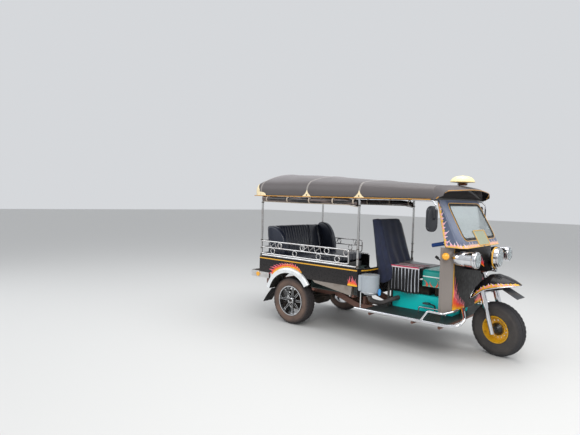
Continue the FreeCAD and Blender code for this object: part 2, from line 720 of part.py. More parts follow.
rail_rows = (  # name, side, front end, end of the rim, stations of the stubs
    ("right", -1, 790, s.mid_post - s.post_radius - s.seat_gap, (-230, 110, 450, 700)),
    ("left", 1, 190, s.entry_rear - 10, (-230, 60)))
for name, side, end, rim_end, stations in rail_rows:
    shape = railing(end, rim_end, stations)
    keep(solid_feature("side_rail_" + name, shape.translated(Vector(0, side * s.post_offset, 0))))
tail_reach = s.post_offset - s.post_radius - s.seat_gap
tail_pieces = [rod((s.rear_post, -tail_reach, height), (s.rear_post, tail_reach, height), radius)
               for height, radius in zip((rim_height,) + rail_heights, (rim_tube, 8, 7, 8))]
for across in (-300, 0, 300):
    tail_pieces.append(rod((s.rear_post, across, rim_height), (s.rear_post, across, rail_heights[2]), 6))
keep(solid_feature("tail_rail", fused(tail_pieces)))

# Bench: a plinth, a long cushion and a leaning back

bench_low = s.bench_top - s.bench_thick
bench_half = s.tub_half_width - s.bench_clear
bench_rear = -330
deck_top = s.deck_height + s.sheet_wall
plinth = new_body("bench_base")
extrude(plinth, "Pad", "XY_Plane", deck_top + s.seat_gap,
        [rectangle(-400, -bench_half + 15, s.well_rear - 40, bench_half - 15)],
        bench_low - deck_top - 2 * s.seat_gap)
keep(plinth)

cushion = new_body("bench_cushion")
extrude(cushion, "Pad", "XZ_Plane", 0, [outline((
    (bench_rear, bench_low), (s.bench_front, bench_low, 30), (s.bench_front, s.bench_top, 40),
    (bench_rear, s.bench_top - 20)))], 2 * (bench_half - 10), both=True)
keep(cushion)

back_rest = new_body("bench_back")
extrude(back_rest, "Pad", "XZ_Plane", 0, [outline((
    (bench_rear - s.seat_gap, bench_low), (bench_rear - s.seat_gap, s.bench_top, 20), (-400, 1095, 40),
    (-497, 1114, 38), (-440, 940, 40), (-420, bench_low)))],
    2 * (bench_half - 30), both=True)
keep(back_rest)

# Canopy posts, frame, cover, visor and curtains

frame_height = s.canopy_edge + 11
frame_side = s.canopy_half_width - s.canopy_wall - s.seat_gap - s.frame_tube
post_shapes = []
for station in (s.rear_post, s.mid_post):
    for name, side in SIDES:
        low = s.tub_top + s.seat_gap
        top = frame_height - s.frame_tube - s.seat_gap
        across = side * s.post_offset
        post_shapes.append(rod((station, across, low), (station, across, top), s.post_radius))
keep(solid_feature("canopy_posts", Part.makeCompound(post_shapes)))

# Canopy cross sections: station, half width, spring height, crown height, shoulder radius
CANOPY = (
    (-606, s.canopy_half_width - 61, 1506, 1640, 78),
    (-565, s.canopy_half_width - 15, 1522, 1712, 104),
    (-480, s.canopy_half_width, 1532, 1750, 118),
    (227, s.canopy_half_width, 1528, 1720, 120),
    (908, s.canopy_half_width, 1516, 1670, 116),
    (s.canopy_end, s.canopy_half_width, 1502, 1614, 92))
VISOR = (
    (s.canopy_end + s.seat_gap, s.canopy_half_width, 1502, 1614, 92),
    (1900, s.canopy_half_width - 33, 1440, 1560, 62))
visor_rise = 0.49


def arch_wire(station, half, low, spring, crown, radius):
    """Arched section: straight sides, tangent shoulders and a flat crown arc."""
    reach = half - radius
    drop = spring - crown
    crown_radius = (radius ** 2 - reach ** 2 - drop ** 2) / (2 * (drop + radius))
    span = crown_radius - radius
    aim_y = reach / span
    aim_z = (drop + crown_radius) / span
    join_y = reach + radius * aim_y
    join_z = spring + radius * aim_z
    turn_half = math.atan2(aim_z, aim_y) / 2
    mid_y = reach + radius * math.cos(turn_half)
    mid_z = spring + radius * math.sin(turn_half)
    spots = [Vector(station, y, z) for y, z in (
        (half, low), (half, spring), (mid_y, mid_z), (join_y, join_z), (0, crown),
        (-join_y, join_z), (-mid_y, mid_z), (-half, spring), (-half, low))]
    edges = [
        Part.LineSegment(spots[0], spots[1]), Part.Arc(spots[1], spots[2], spots[3]),
        Part.Arc(spots[3], spots[4], spots[5]), Part.Arc(spots[5], spots[6], spots[7]),
        Part.LineSegment(spots[7], spots[8]), Part.LineSegment(spots[8], spots[0])]
    return Part.Wire([edge.toShape() for edge in edges])


def arched_shell(rows, low, wall, closed_rear):
    """Open-bottomed shell lofted through arched sections."""
    outer = Part.makeLoft([arch_wire(x, half, low, spring, crown, radius)
                           for x, half, spring, crown, radius in rows], True, True)
    inner_rows = []
    for i, (x, half, spring, crown, radius) in enumerate(rows):
        if i == 0:
            x = x + wall if closed_rear else x - 1
        elif i == len(rows) - 1:
            x = x + 1
        inner_rows.append(arch_wire(x, half - wall, low - 5, spring, crown - wall, radius - wall))
    return outer.cut(Part.makeLoft(inner_rows, True, True))


keep(solid_feature("canopy_cover", arched_shell(CANOPY, s.canopy_edge, s.canopy_wall, True)))

brow = arched_shell(VISOR, s.canopy_edge - 30, s.canopy_wall, False)
brow_plan = prism("XY", s.canopy_edge, outline((
    (s.canopy_end, -640), (1770, -640), (1770, 640, 1866, 0), (s.canopy_end, 640))), 400)
cheek_cut = prism("XZ", -700, outline((
    (s.canopy_end + 8, s.canopy_edge - 20), (1900, s.canopy_edge - 20),
    (1900, s.canopy_edge + visor_rise * (1900 - s.canopy_end - 8)), (s.canopy_end + 8, s.canopy_edge))), 1400)
keep(solid_feature("canopy_visor", brow.common(brow_plan).cut(cheek_cut)))

frame_rear = -480
frame_front = s.canopy_end - 12
frame_tubes = []
for name, side in SIDES:
    frame_tubes.append(rod((frame_rear, side * frame_side, frame_height),
                           (frame_front, side * frame_side, frame_height), s.frame_tube))
bow_rows = [(row[0], row[3]) for row in CANOPY[2:5]] + [(frame_front, CANOPY[5][3] - 2)]
for station, crown in bow_rows:
    top = crown - s.canopy_wall - s.frame_tube - 3
    bow = Part.Wire([Part.Arc(Vector(station, -frame_side, frame_height), Vector(station, 0, top),
                              Vector(station, frame_side, frame_height)).toShape()])
    frame_tubes.append(swept(bow, s.frame_tube))
for station in (frame_rear, frame_front):
    frame_tubes.append(rod((station, -frame_side, frame_height),
                           (station, frame_side, frame_height), s.frame_tube))
keep(solid_feature("canopy_frame", fused(frame_tubes)))

rolls = []
for name, side in SIDES:
    curtain_y = side * (frame_side - 8)
    curtain_z = frame_height - s.frame_tube - s.curtain_radius - s.seat_gap
    rolls.append(rod((rail_start, curtain_y, curtain_z),
                     (s.mid_post - s.post_radius - s.seat_gap, curtain_y, curtain_z), s.curtain_radius))
keep(solid_feature("curtain_rolls", Part.makeCompound(rolls)))

# Roof sign: a blank domed lantern on a stub above the canopy's front

sign = new_body("roof_sign")
sign_foot = 1616
turn(sign, "Revolution", "XZ_Plane", [outline((
    (0, sign_foot), (36, sign_foot), (28, 1640), (114, 1648), (117, 1655),
    (52, 1708, 96, 1686), (0, 1716)))], "Z_Axis")
keep(sign, Placement(Vector(s.axle_station + 1716, 0, 0), Rotation()))

# Windscreen: a raked panel with swept back sides, a rubber-set glass and the plate


def screen_section(height, front, back, run, bend, wall):
    """Plan section of the panel: flat front, rounded corners, short sides."""
    half = s.screen_half
    loop = outline((
        (back, -half), (front - run, -half, bend), (front, -half + 70, 40), (front, half - 70, 40),
        (front - run, half, bend), (back, half), (back, half - wall),
        (front - run - wall / 2, half - wall, bend - 4), (front - wall, half - 76, 34),
        (front - wall, -half + 76, 34), (front - run - wall / 2, -half + wall, bend - 4),
        (back, -half + wall)))
    wire = Part.Wire([edge.toShape() for edge in loop])
    wire.translate(Vector(0, 0, height))
    return wire


screen_top = frame_height - s.frame_tube - s.seat_gap
screen = Part.makeLoft([
    screen_section(s.screen_bottom, s.screen_foot, s.screen_foot - 185, 55, 40, s.screen_wall),
    screen_section(screen_top, s.screen_head, s.screen_head - 42, 22, 12, s.screen_wall)], True, True)


def glass_outline(grow):
    """Window opening seen from the front, widened by grow."""
    low_half = s.glass_half - 22 + grow
    top_half = s.glass_half - 40 + grow
    low = s.glass_bottom - grow
    top = s.glass_top - 30 + grow
    return outline(((-low_half, low, 45), (low_half, low, 45), (top_half, top, 30),
                    (-top_half, top, 30)))


def front_prism(edges, start, length):
    """Solid from an outline in the YZ plane, run forward from a station."""
    face = Part.Face(Part.Wire([edge.toShape() for edge in edges]))
    face.rotate(Vector(0, 0, 0), Vector(1, 1, 1), 120)
    face.translate(Vector(start, 0, 0))
    return face.extrude(Vector(length, 0, 0))


screen_near = min(s.screen_head, s.screen_foot)
screen_lean = abs(s.screen_foot - s.screen_head)
opening = front_prism(glass_outline(0), screen_near - 60, screen_lean + 94)
screen = screen.cut(opening)
keep(solid_feature("windscreen_panel", screen))

screen_slope = (s.screen_head - s.screen_foot) / (screen_top - s.screen_bottom)


def screen_x(height):
    """Front face of the raked panel at a height."""
    return s.screen_foot + screen_slope * (height - s.screen_bottom)


glass_set = 4
pane = prism("XZ", -500, outline((
    (screen_x(1040) - glass_set, 1040), (screen_x(1460) - glass_set, 1460),
    (screen_x(1460) - glass_set - s.glass_thick, 1460),
    (screen_x(1040) - glass_set - s.glass_thick, 1040))), 1000)
glass = pane.common(front_prism(glass_outline(-s.seat_gap), screen_near - 72, screen_lean + 164))
keep(solid_feature("windscreen_glass", glass))

plate_low = s.screen_bottom + 12
plate_top = plate_low + s.plate_height
plate_loop = outline((
    (screen_x(plate_low) + s.seat_gap, plate_low), (screen_x(plate_low) + 4, plate_low),
    (screen_x(plate_top) + 4, plate_top), (screen_x(plate_top) + s.seat_gap, plate_top)))
keep(solid_feature("number_plate", prism("XZ", s.plate_right, plate_loop, s.plate_width)))

# Leg shield: a flat front with slanted sides, and the cowl that carries the lamps

shield_top = s.screen_bottom - s.seat_gap
shield = new_body("leg_shield_front")
wall = s.sheet_wall
extrude(shield, "Pad", "YZ_Plane", s.shield_front - wall, [
    rectangle(-s.shield_half, s.shield_bottom, s.shield_half, shield_top)], "sizes.sheet_wall")
cut_through(shield, "YZ_Plane", s.shield_front - 3 * wall,
            [rectangle(-18 - s.clear, neck_height - 34 - s.clear, 18 + s.clear,
                       neck_height + 22 + s.clear)], 5 * wall, back=True)
keep(shield)

wings = []
for name, side in SIDES:
    plan = ((s.shield_front - 2, side * (s.shield_half + s.seat_gap)),
            (s.shield_corner, side * s.shield_side), (s.shield_corner - 26, side * s.shield_side),
            (s.shield_corner - 26, side * (s.shield_side - wall)),
            (s.shield_corner - 2, side * (s.shield_side - wall)),
            (s.shield_front - 8, side * (s.shield_half + s.seat_gap)))
    wings.append(prism("XY", s.shield_bottom - 4, outline(plan), shield_top - s.shield_bottom + 4))
keep(solid_feature("leg_shield_sides", Part.makeCompound(wings)))


def cowl_wire(height, front, half, wall, back):
    """Plan section of the nose cowl: open at the back, rounded at the front."""
    front -= wall
    half -= wall
    edges = outline((
        (back, -half), (front - 60, -half * 0.8), (front - 60, half * 0.8, front, 0), (back, half)))
    wire = Part.Wire([edge.toShape() for edge in edges])
    wire.translate(Vector(0, 0, height))
    return wire


cowl_back = s.shield_front + s.seat_gap
cowl_front = 2031
cowl_rows = (  # height, front, half width
    (800, cowl_front, 92), (900, cowl_front, 190), (shield_top, s.screen_foot + 4, 420))
cowl_outer = Part.makeLoft([cowl_wire(height, front, half, 0, cowl_back)
                            for height, front, half in cowl_rows], True, True)
cowl_inner = Part.makeLoft([cowl_wire(height + lift, front, half, 5, cowl_back - 10)
                            for (height, front, half), lift in zip(cowl_rows, (-1, 0, 1))], True, True)
keep(solid_feature("nose_cowl", cowl_outer.cut(cowl_inner)))


def lamp_shape(radius, depth, tail_radius):
    """Bullet lamp about the X axis: a rimmed lens over a rounded tapering shell."""
    loop = outline((
        (0, 0), (-depth, 0), (-depth, tail_radius),
        (-depth * 0.45, radius * 0.87, -depth * 0.8, (radius + tail_radius) / 2 + radius * 0.08),
        (-radius * 0.38, radius * 0.95), (-radius * 0.3, radius), (-radius * 0.08, radius),
        (0, radius * 0.88)))
    face = Part.Face(Part.Wire([edge.toShape() for edge in loop]))
    return face.revolve(Vector(0, 0, 0), Vector(1, 0, 0), 360)


side_lamp = lamp_shape(s.side_lamp_radius, s.side_lamp_front - s.shield_front - s.seat_gap, 34)
side_lamps = [side_lamp.translated(Vector(s.side_lamp_front, side * s.side_lamp_offset, s.lamp_height))
              for name, side in SIDES]
cowl_seat = cowl_front + s.seat_gap
centre_lamp = lamp_shape(s.centre_lamp_radius, s.centre_lamp_front - cowl_seat, 52).translated(
    Vector(s.centre_lamp_front, 0, s.lamp_height - 4))
small_lamp = lamp_shape(20, 42, 12).translated(Vector(cowl_seat + 42, 0, 815))
keep(solid_feature("headlamps", Part.makeCompound(side_lamps + [centre_lamp, small_lamp])))

# Mirrors: oval heads on bent arms from the canopy frame

mirror_shapes = []
for name, side in SIDES:
    arm = tube(((1486, side * 604, frame_height - s.frame_tube - 7 - s.seat_gap),
                (1700, side * 618, frame_height - s.frame_tube - 12), (1732, side * 630, 1420),
                (1732, side * 625, 1290), (1695, side * 615, 1288)), 7, 14)
    head = front_prism(outline((
        (-55, -62), (55, -62, 0, -118), (55, 62), (-55, 62, 0, 118))), -14, 28)
    head.rotate(Vector(0, 0, 0), Vector(0, 0, 1), side * 27)
    head.translate(Vector(1690, side * 612, 1290))
    mirror_shapes.append(fused([arm, head]))
keep(solid_feature("mirrors", Part.makeCompound(mirror_shapes)))

# Driver's place: engine cover, console hood, seat and controls

cover = new_body("engine_cover")
cover_front = neck_station - 24 - s.seat_gap
extrude(cover, "Pad", "XY_Plane", floor_top + s.seat_gap, [
    rectangle(s.cover_rear, -s.cover_half_width, cover_front, s.cover_half_width, 10)],
    s.cover_top - floor_top)
bay_half = s.engine_half_width + 3
cut_through(cover, "XY_Plane", floor_top - 1, [
    rectangle(s.cover_rear - 20, -bay_half, s.engine_front - 10, bay_half)], 300, back=True)
keep(cover)

hood = new_body("console_hood")
hood_half = s.hood_half_width
extrude(hood, "Pad", "YZ_Plane", s.seat_front + 6, [outline((
    (-hood_half, s.hood_bottom), (hood_half, s.hood_bottom), (hood_half, s.hood_top, 40),
    (-hood_half, s.hood_top, 40)))], cover_front - s.seat_front - 6)
keep(hood)

gearbox = new_body("gearbox")
extrude(gearbox, "Pad", "XY_Plane", s.cover_top + 2 * s.seat_gap, [
    rectangle(s.engine_front + 22, -130, cover_front - 8, 130, 20)],
    s.hood_bottom - s.cover_top - 3 * s.seat_gap)
keep(gearbox)

seat_low = s.seat_top - s.seat_thick
leg_tube = 13
seat_rail = seat_low - leg_tube - s.seat_gap
seat_legs = []
for name, side in SIDES:
    y = side * (s.seat_half_width - 30)
    seat_legs.append(tube(((s.seat_rear + 20, y, floor_top + s.seat_gap), (s.seat_rear + 20, y, seat_rail),
                           (s.seat_front - 30, y, seat_rail)), leg_tube, 40))
    foot_y = side * (s.cover_half_width + bay_half) / 2
    seat_legs.append(rod((s.seat_front - 90, foot_y, s.cover_top + 2 * s.seat_gap),
                         (s.seat_front - 90, foot_y, seat_rail), 11))
for station in (s.seat_rear + 80, s.seat_front - 90):
    y = s.seat_half_width - 30
    seat_legs.append(rod((station, -y, seat_rail), (station, y, seat_rail), 12))
keep(solid_feature("driver_seat_frame", fused(seat_legs)))

seat = new_body("driver_cushion")
extrude(seat, "Pad", "XZ_Plane", 0, [outline((
    (s.seat_rear, seat_low, 15), (s.seat_front, seat_low, 25), (s.seat_front, s.seat_top - 6, 30),
    (s.seat_rear, s.seat_top, 15)))], "2 * sizes.seat_half_width", both=True)
keep(seat)

seat_back = new_body("driver_back")
extrude(seat_back, "Pad", "XZ_Plane", 0, [outline((
    (s.seat_rear - s.seat_gap, seat_low), (s.seat_rear - s.seat_gap, s.seat_top + s.seat_gap),
    (s.seat_rear + 40, s.seat_top + s.seat_gap), (945, 1212, 25), (868, 1228, 30),
    (s.tub_nose + s.seat_gap, s.tub_top + 30, 20), (s.tub_nose + s.seat_gap, seat_low)))], 480, both=True)
keep(seat_back)

# Cloths on the driver's seat: a striped blanket over its right edge, a jacket over its back

side_face = -s.seat_half_width - s.seat_gap
blanket = fused([
    block(1136, side_face - 12, 530, 1420, side_face, s.seat_top + 5),
    block(1136, side_face - 2, s.seat_top + s.seat_gap, 1420, -120, s.seat_top + 5)])
keep(solid_feature("seat_blanket", blanket))
jacket = fused([
    prism("XZ", side_face - 20, outline((
        (864, 1229), (866, 1238), (949, 1221), (1040, 960), (1130, 640), (1108, 556), (1015, 562),
        (960, 800))), 20),
    prism("XZ", side_face - 20, outline(((864, 1229.3), (947, 1212.3), (949, 1221), (866, 1238))), 525)])
keep(solid_feature("seat_jacket", jacket))

doc.recompute()

# Steering: fork, handlebar, mudguard and flap turn together on the head tube

yoke_along = 365
stem_end = s.head_bottom + s.head_length + 90
fork_pieces = []
for name, side in SIDES:
    y = side * s.fork_half_width
    fork_pieces.append(Part.makeCylinder(s.slider_radius, 330, on_axis(-30, 0, y), steer_axis))
    fork_pieces.append(Part.makeCylinder(s.fork_tube_radius, yoke_along + 6 - 215,
                                         on_axis(215, 0, y), steer_axis))
fork_pieces.append(Part.makeCylinder(s.front_axle_radius, 2 * s.fork_half_width,
                                     Vector(0, -s.fork_half_width, 0), Vector(0, 1, 0)))
yoke = Part.makeBox(60, 2 * s.fork_half_width, 24, Vector(-30, -s.fork_half_width, yoke_along - 12))
yoke = yoke.fuse([Part.makeCylinder(30, 24, Vector(0, side * s.fork_half_width, yoke_along - 12))
                  for name, side in SIDES])
yoke.Placement = Placement(Vector(0, 0, 0), lean).multiply(yoke.Placement)
fork_pieces.append(yoke)
fork_pieces.append(Part.makeCylinder(s.stem_radius, stem_end - yoke_along, on_axis(yoke_along), steer_axis))
fork_pieces.append(Part.makeCylinder(s.head_tube_radius, 14, on_axis(s.head_bottom - s.seat_gap - 14),
                                     steer_axis))
keep(solid_feature("front_fork", fused(fork_pieces)), steered)

bar_base = on_axis(stem_end + s.seat_gap + 16)
bar_pieces = [Part.makeCylinder(s.stem_radius, 32, on_axis(stem_end + s.seat_gap), steer_axis)]
for name, side in SIDES:
    route = (tuple(bar_base), tuple(bar_base + Vector(-70, side * 62, 14)),
             tuple(bar_base + Vector(-185, side * 240, 18)), tuple(bar_base + Vector(-318, side * 282, -14)))
    bar_pieces.append(tube(route, s.bar_radius, 45))
    inner = bar_base + Vector(-205, side * 247, 13)
    outer = bar_base + Vector(-318, side * 282, -14)
    bar_pieces.append(rod(tuple(inner), tuple(outer), s.grip_radius))
keep(solid_feature("handlebar", fused(bar_pieces)), steered)

# Mudguard sections from the wheel centre: forward, half width, edge height, crown height
FENDER = (
    (-185, 187, 291, 400),
    (-130, 190, 325, 470),
    (-72, 180, 375, 515),
    (-10, 165, 405, 527),
    (66, 142, 428, 515),
    (140, 100, 440, 492),
    (190, 55, 446, 470),
    (221, 14, 449, 455))


def fender_wire(forward, half, edge, crown, wall):
    outer = Part.Arc(Vector(forward, -half, edge), Vector(forward, 0, crown), Vector(forward, half, edge))
    inner = Part.Arc(Vector(forward, half - wall, edge), Vector(forward, 0, crown - wall),
                     Vector(forward, -half + wall, edge))
    ends = (Part.LineSegment(Vector(forward, half, edge), Vector(forward, half - wall, edge)),
            Part.LineSegment(Vector(forward, -half + wall, edge), Vector(forward, -half, edge)))
    return Part.Wire([outer.toShape(), ends[0].toShape(), inner.toShape(), ends[1].toShape()])


fender = Part.makeLoft([fender_wire(*row, 5) for row in FENDER], True, True)
stem_hole = Part.makeCylinder(s.stem_radius + s.seat_gap, 400, on_axis(yoke_along), steer_axis)
keep(solid_feature("front_fender", fender.cut(stem_hole)), steered)

flap_seat = on_axis(yoke_along, 30 + s.seat_gap)
fender_flap = prism("XZ", -62, outline((
    (flap_seat.x + 1, flap_seat.z - 3), (72, 396), (215, 329), (219, 334), (72, 402),
    (flap_seat.x - 0.7, flap_seat.z + 3))), 124)
keep(solid_feature("fender_flap", fender_flap), steered)

# Front wheel: a pressed yellow rim with a ring of holes, and its tyre


def front_rim():
    body = new_body("front_rim")
    outer = s.front_rim_radius
    half = s.front_tyre_width / 2 - 8
    seat = outer - 14 - s.seat_gap
    bore = s.front_axle_radius + s.running_gap
    turn(body, "Revolution", "YZ_Plane", [outline((
        (-half, seat), (half, seat), (half, outer - 22), (14, outer - 40), (-14, outer - 40),
        (-half, outer - 22)))], "Y_Axis")
    turn(body, "Revolution", "YZ_Plane", [outline((
        (-50, bore), (50, bore), (50, 30), (16, s.front_hub_radius), (6, s.front_hub_radius),
        (6, outer - 36), (-6, outer - 36), (-6, s.front_hub_radius), (-16, s.front_hub_radius),
        (-50, 30)))], "Y_Axis")
    hole = cut_through(body, "XZ_Plane", 0,
                       [circle(0, (s.front_hub_radius + outer - 40) / 2, s.rim_hole_radius)], 40, both=True)
    polar(body, hole, "Y_Axis", "sizes.rim_hole_count")
    return body


keep(front_rim(), steered)
keep(wheel_tyre("front_tyre", s.front_tyre_radius, s.front_tyre_width, s.front_rim_radius), steered)

# Air cleaner with its bracket, and the hose that leads to the engine

can_x = 1037
can_y = -s.tub_nose_half - 100
bracket_low = s.can_bottom + 30
can = fused([
    rod((can_x, can_y, s.can_bottom), (can_x, can_y, s.can_bottom + s.can_height), s.can_radius),
    rod((can_x, can_y, s.can_bottom - 18), (can_x, can_y, s.can_bottom + 12), s.can_radius - 30),
    rod((can_x, can_y, s.can_bottom + 2), (can_x, can_y, s.can_bottom + 16), s.can_radius + 4),
    block(s.tub_nose + s.seat_gap, -530, bracket_low, 990, -415, bracket_low + 120)])
keep(solid_feature("air_cleaner", can))
hose_top = s.can_bottom - 18 - s.seat_gap
hose = tube(((can_x, can_y, hose_top), (can_x, can_y, 428), (1090, -440, 400), (1165, -330, 436),
             (1165, -s.cover_half_width - s.seat_gap, 436)), s.hose_radius, 45)
keep(solid_feature("air_hose", hose))

# Foot pedal and gear lever beside the console

controls = [
    fused([tube(((1580, -s.cover_half_width - 26, floor_top + s.seat_gap),
                 (1580, -s.cover_half_width - 26, 420), (1510, -s.cover_half_width - 60, 440)), 7, 20),
           block(1480, -s.cover_half_width - 95, 432, 1540, -s.cover_half_width - 40, 446)]),
    fused([tube(((1500, 100, s.hood_top + s.seat_gap), (1500, 100, 815), (1452, 100, 850)), 8, 20),
           rod((1452, 100, 850), (1423, 100, 871), 15)])]
keep(solid_feature("controls", Part.makeCompound(controls)))

# Write the sub-parts

doc.recompute()
for item in doc.Objects:
    if "Invalid" in item.State or "Error" in item.State:
        raise ValueError("%s failed: %s" % (item.Label, item.State))
for item in parts:
    if item.Shape.isNull() or not item.Shape.isValid() or not item.Shape.Solids:
        raise ValueError("%s has no valid solid" % item.Label)
os.makedirs("parts", exist_ok=True)
for item in parts:
    item.Shape.exportStep("parts/%s.step" % item.Label)
whole = Part.makeCompound([item.Shape for item in parts]).BoundBox
print("sub-parts", len(parts))
print("X %.1f to %.1f  Y %.1f to %.1f  Z %.1f to %.1f" % (
    whole.XMin, whole.XMax, whole.YMin, whole.YMax, whole.ZMin, whole.ZMax))
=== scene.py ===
from math import atan2, copysign, cos, exp, pi, radians, sin, sqrt

import bpy
from mathutils import Matrix, Vector, noise
from mathutils.bvhtree import BVHTree


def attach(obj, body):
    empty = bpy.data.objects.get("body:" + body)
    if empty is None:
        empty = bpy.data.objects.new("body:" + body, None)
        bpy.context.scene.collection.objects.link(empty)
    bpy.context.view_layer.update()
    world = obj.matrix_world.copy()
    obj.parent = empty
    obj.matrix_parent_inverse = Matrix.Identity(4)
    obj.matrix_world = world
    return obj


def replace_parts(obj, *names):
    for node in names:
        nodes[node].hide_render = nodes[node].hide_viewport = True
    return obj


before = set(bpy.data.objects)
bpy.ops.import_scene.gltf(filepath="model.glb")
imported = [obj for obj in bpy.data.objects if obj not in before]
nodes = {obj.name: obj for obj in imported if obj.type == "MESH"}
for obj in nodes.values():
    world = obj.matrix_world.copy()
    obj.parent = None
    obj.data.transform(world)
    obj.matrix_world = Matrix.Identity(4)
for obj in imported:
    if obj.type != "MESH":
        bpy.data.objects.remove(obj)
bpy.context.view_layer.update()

# Road tyres. Vulcanised rubber, moulded with grooves and shoulder blocks, greyed by road dust
# that clings to the walls. Each is turned from a grooved section and swaps the plain CAD ring.

AXLE_STATION = -0.857
WHEELBASE = 2.117
REAR_AXLE_HEIGHT = 0.269
FRONT_AXLE_HEIGHT = 0.2578
HALF_TRACK = 0.52
STEER_LEAN = radians(16)
STEER_TURN = radians(-12.9)
REAR_TYRE = (0.2685, 0.148, 0.185)
FRONT_TYRE = (0.2578, 0.124, 0.144)
SIDES = (("right", -1), ("left", 1))
UP = Vector((0, 0, 1))


def linear(hexa):
    """An sRGB hex colour as the linear values that shaders take."""
    parts = [int(hexa[i:i + 2], 16) / 255 for i in (1, 3, 5)]
    return tuple(c / 12.92 if c <= 0.04045 else ((c + 0.055) / 1.055) ** 2.4 for c in parts) + (1.0,)


class Finish:
    """A material while it is made. Its place is the position on the vehicle at rest, in metres."""

    def __init__(self, name):
        self.material = bpy.data.materials.new(name)
        self.material.use_nodes = True
        self.place = self.add("TexCoord", "Object")

    def feed(self, socket, value):
        """Links a signal to a socket, or sets the socket to a value or a hex colour."""
        if isinstance(value, bpy.types.NodeSocket):
            self.material.node_tree.links.new(value, socket)
        else:
            socket.default_value = linear(value) if isinstance(value, str) else value

    def add(self, kind, out, inputs=None, stops=(), **settings):
        """Adds one node with its settings, its links or values and its ramp stops, for one output."""
        made = self.material.node_tree.nodes.new("ShaderNode" + kind)
        for key, value in settings.items():
            setattr(made, key, value)
        for key, value in (inputs or {}).items():
            named = [s for s in made.inputs if s.name == key and s.enabled]
            self.feed(named[0] if named else made.inputs[key], value)
        for k, (place, colour) in enumerate(stops):
            elements = made.color_ramp.elements
            element = elements[k] if k < len(elements) else elements.new(1.0)
            element.position = place
            element.color = linear(colour) if isinstance(colour, str) else (colour,) * 3 + (1.0,)
        return made.outputs[out]

    def done(self, relief=None, **values):
        """Feeds the surface by socket name; relief is a signal, its depth and its strength."""
        sockets = self.material.node_tree.nodes["Principled BSDF"].inputs
        if relief:
            values["Normal"] = self.add("Bump", "Normal",
                                        dict(zip(("Height", "Distance", "Strength"), relief)))
        for key, value in values.items():
            self.feed(sockets[key.replace("_", " ")], value)
        return self.material


def tyre_rubber(name, centre, dust, radius):
    """Black road rubber: near-black tread, and walls that dust turns grey or brown."""
    look = Finish(name)
    away = look.add("VectorMath", "Value", {0: look.place, 1: centre}, operation="DISTANCE")
    speckle = look.add("TexNoise", "Fac", {"Vector": look.place, "Scale": 90.0, "Detail": 5.0})
    wall = look.add("MapRange", "Result", {"Value": away, "From Min": radius * 0.985,
                                           "From Max": radius * 0.86, "To Min": 0.08, "To Max": 0.75})
    clouds = look.add("TexNoise", "Fac", {"Vector": look.place, "Scale": 9.0, "Detail": 3.0})
    share = look.add("Math", 0, {0: wall, 1: clouds}, operation="MULTIPLY")
    colour = look.add("Mix", 2, {"Factor": share, "A": "#26262a", "B": dust}, data_type="RGBA")
    level = look.add("MapRange", "Result", {"Value": speckle, "To Min": 0.62, "To Max": 0.92})
    return look.done((speckle, 0.0006, 0.5), Base_Color=colour, Roughness=level)


def circle(count, radius=1.0):
    """Cosine and sine, times a radius, of evenly spaced angles."""
    return [(radius * cos(a), radius * sin(a)) for a in (2 * pi * k / count for k in range(count))]


class Form:
    """Points and faces of a piece while it is put together."""

    def __init__(self, points=()):
        self.points, self.faces = list(points), []

    def grid(self, rows, columns, wrap_rows=False, wrap_columns=False):
        """Quads over the last points that were laid, row by row."""
        start = len(self.points) - rows * columns
        for i in range(rows if wrap_rows else rows - 1):
            for j in range(columns if wrap_columns else columns - 1):
                low, high = start + i * columns, start + (i + 1) % rows * columns
                n = (j + 1) % columns
                self.faces.append((low + j, low + n, high + n, high + j))
        return self

    def lids(self, rows, columns):
        """Closes both ends of a tube of rows."""
        start = len(self.points) - rows * columns
        self.faces.append(tuple(start + k for k in reversed(range(columns))))
        self.faces.append(tuple(start + (rows - 1) * columns + k for k in range(columns)))

    def prism(self, foot, tip, radius, sides, tip_radius=None):
        """A closed prism or cone frustum from foot to tip."""
        run = (tip - foot).normalized()
        side = run.orthogonal().normalized()
        other = run.cross(side)
        for centre, r in ((foot, radius), (tip, radius if tip_radius is None else tip_radius)):
            self.points += [centre + side * c + other * s for c, s in circle(sides, r)]
        self.grid(2, sides, wrap_columns=True)
        self.lids(2, sides)

    def tube(self, line, radius, sides=10, closed=False):
        """A round tube along a line; radius is a number or one for each point."""
        count = len(line)
        side = None
        for i, spot in enumerate(line):
            ahead, behind = (line[(i + 1) % count], line[i - 1]) if closed else (
                line[min(i + 1, count - 1)], line[max(i - 1, 0)])
            run = (ahead - behind).normalized()
            side = side or run.orthogonal().normalized()
            side = (side - run * side.dot(run)).normalized()
            other = run.cross(side)
            r = radius[i] if isinstance(radius, list) else radius
            self.points += [spot + side * c + other * s for c, s in circle(sides, r)]
        self.grid(count, sides, closed, True)
        if not closed:
            self.lids(count, sides)
        return self

    def piece(self, name, material, slot, body="root", smooth=True):
        """The finished mesh piece, which rides on a body."""
        mesh = bpy.data.meshes.new(name)
        mesh.from_pydata([tuple(p) for p in self.points], [], self.faces)
        mesh.validate()
        mesh.update()
        mesh.polygons.foreach_set("use_smooth", [smooth] * len(mesh.polygons))
        mesh.materials.append(material)
        made = bpy.data.objects.new(name, mesh)
        bpy.context.scene.collection.objects.link(made)
        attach(made, body)
        return made


# Steering geometry of the part: the axis leans back, and the wheel stands turned to the right
steer_foot = Vector((AXLE_STATION + WHEELBASE, 0.0, FRONT_AXLE_HEIGHT))
steer_line = Vector((-sin(STEER_LEAN), 0.0, cos(STEER_LEAN)))
steered = Matrix.Translation(steer_foot) @ Matrix.Rotation(STEER_TURN, 4, steer_line)
rear_hubs = {side: Matrix.Translation((AXLE_STATION, side * HALF_TRACK, REAR_AXLE_HEIGHT))
             for side in (-1, 1)}


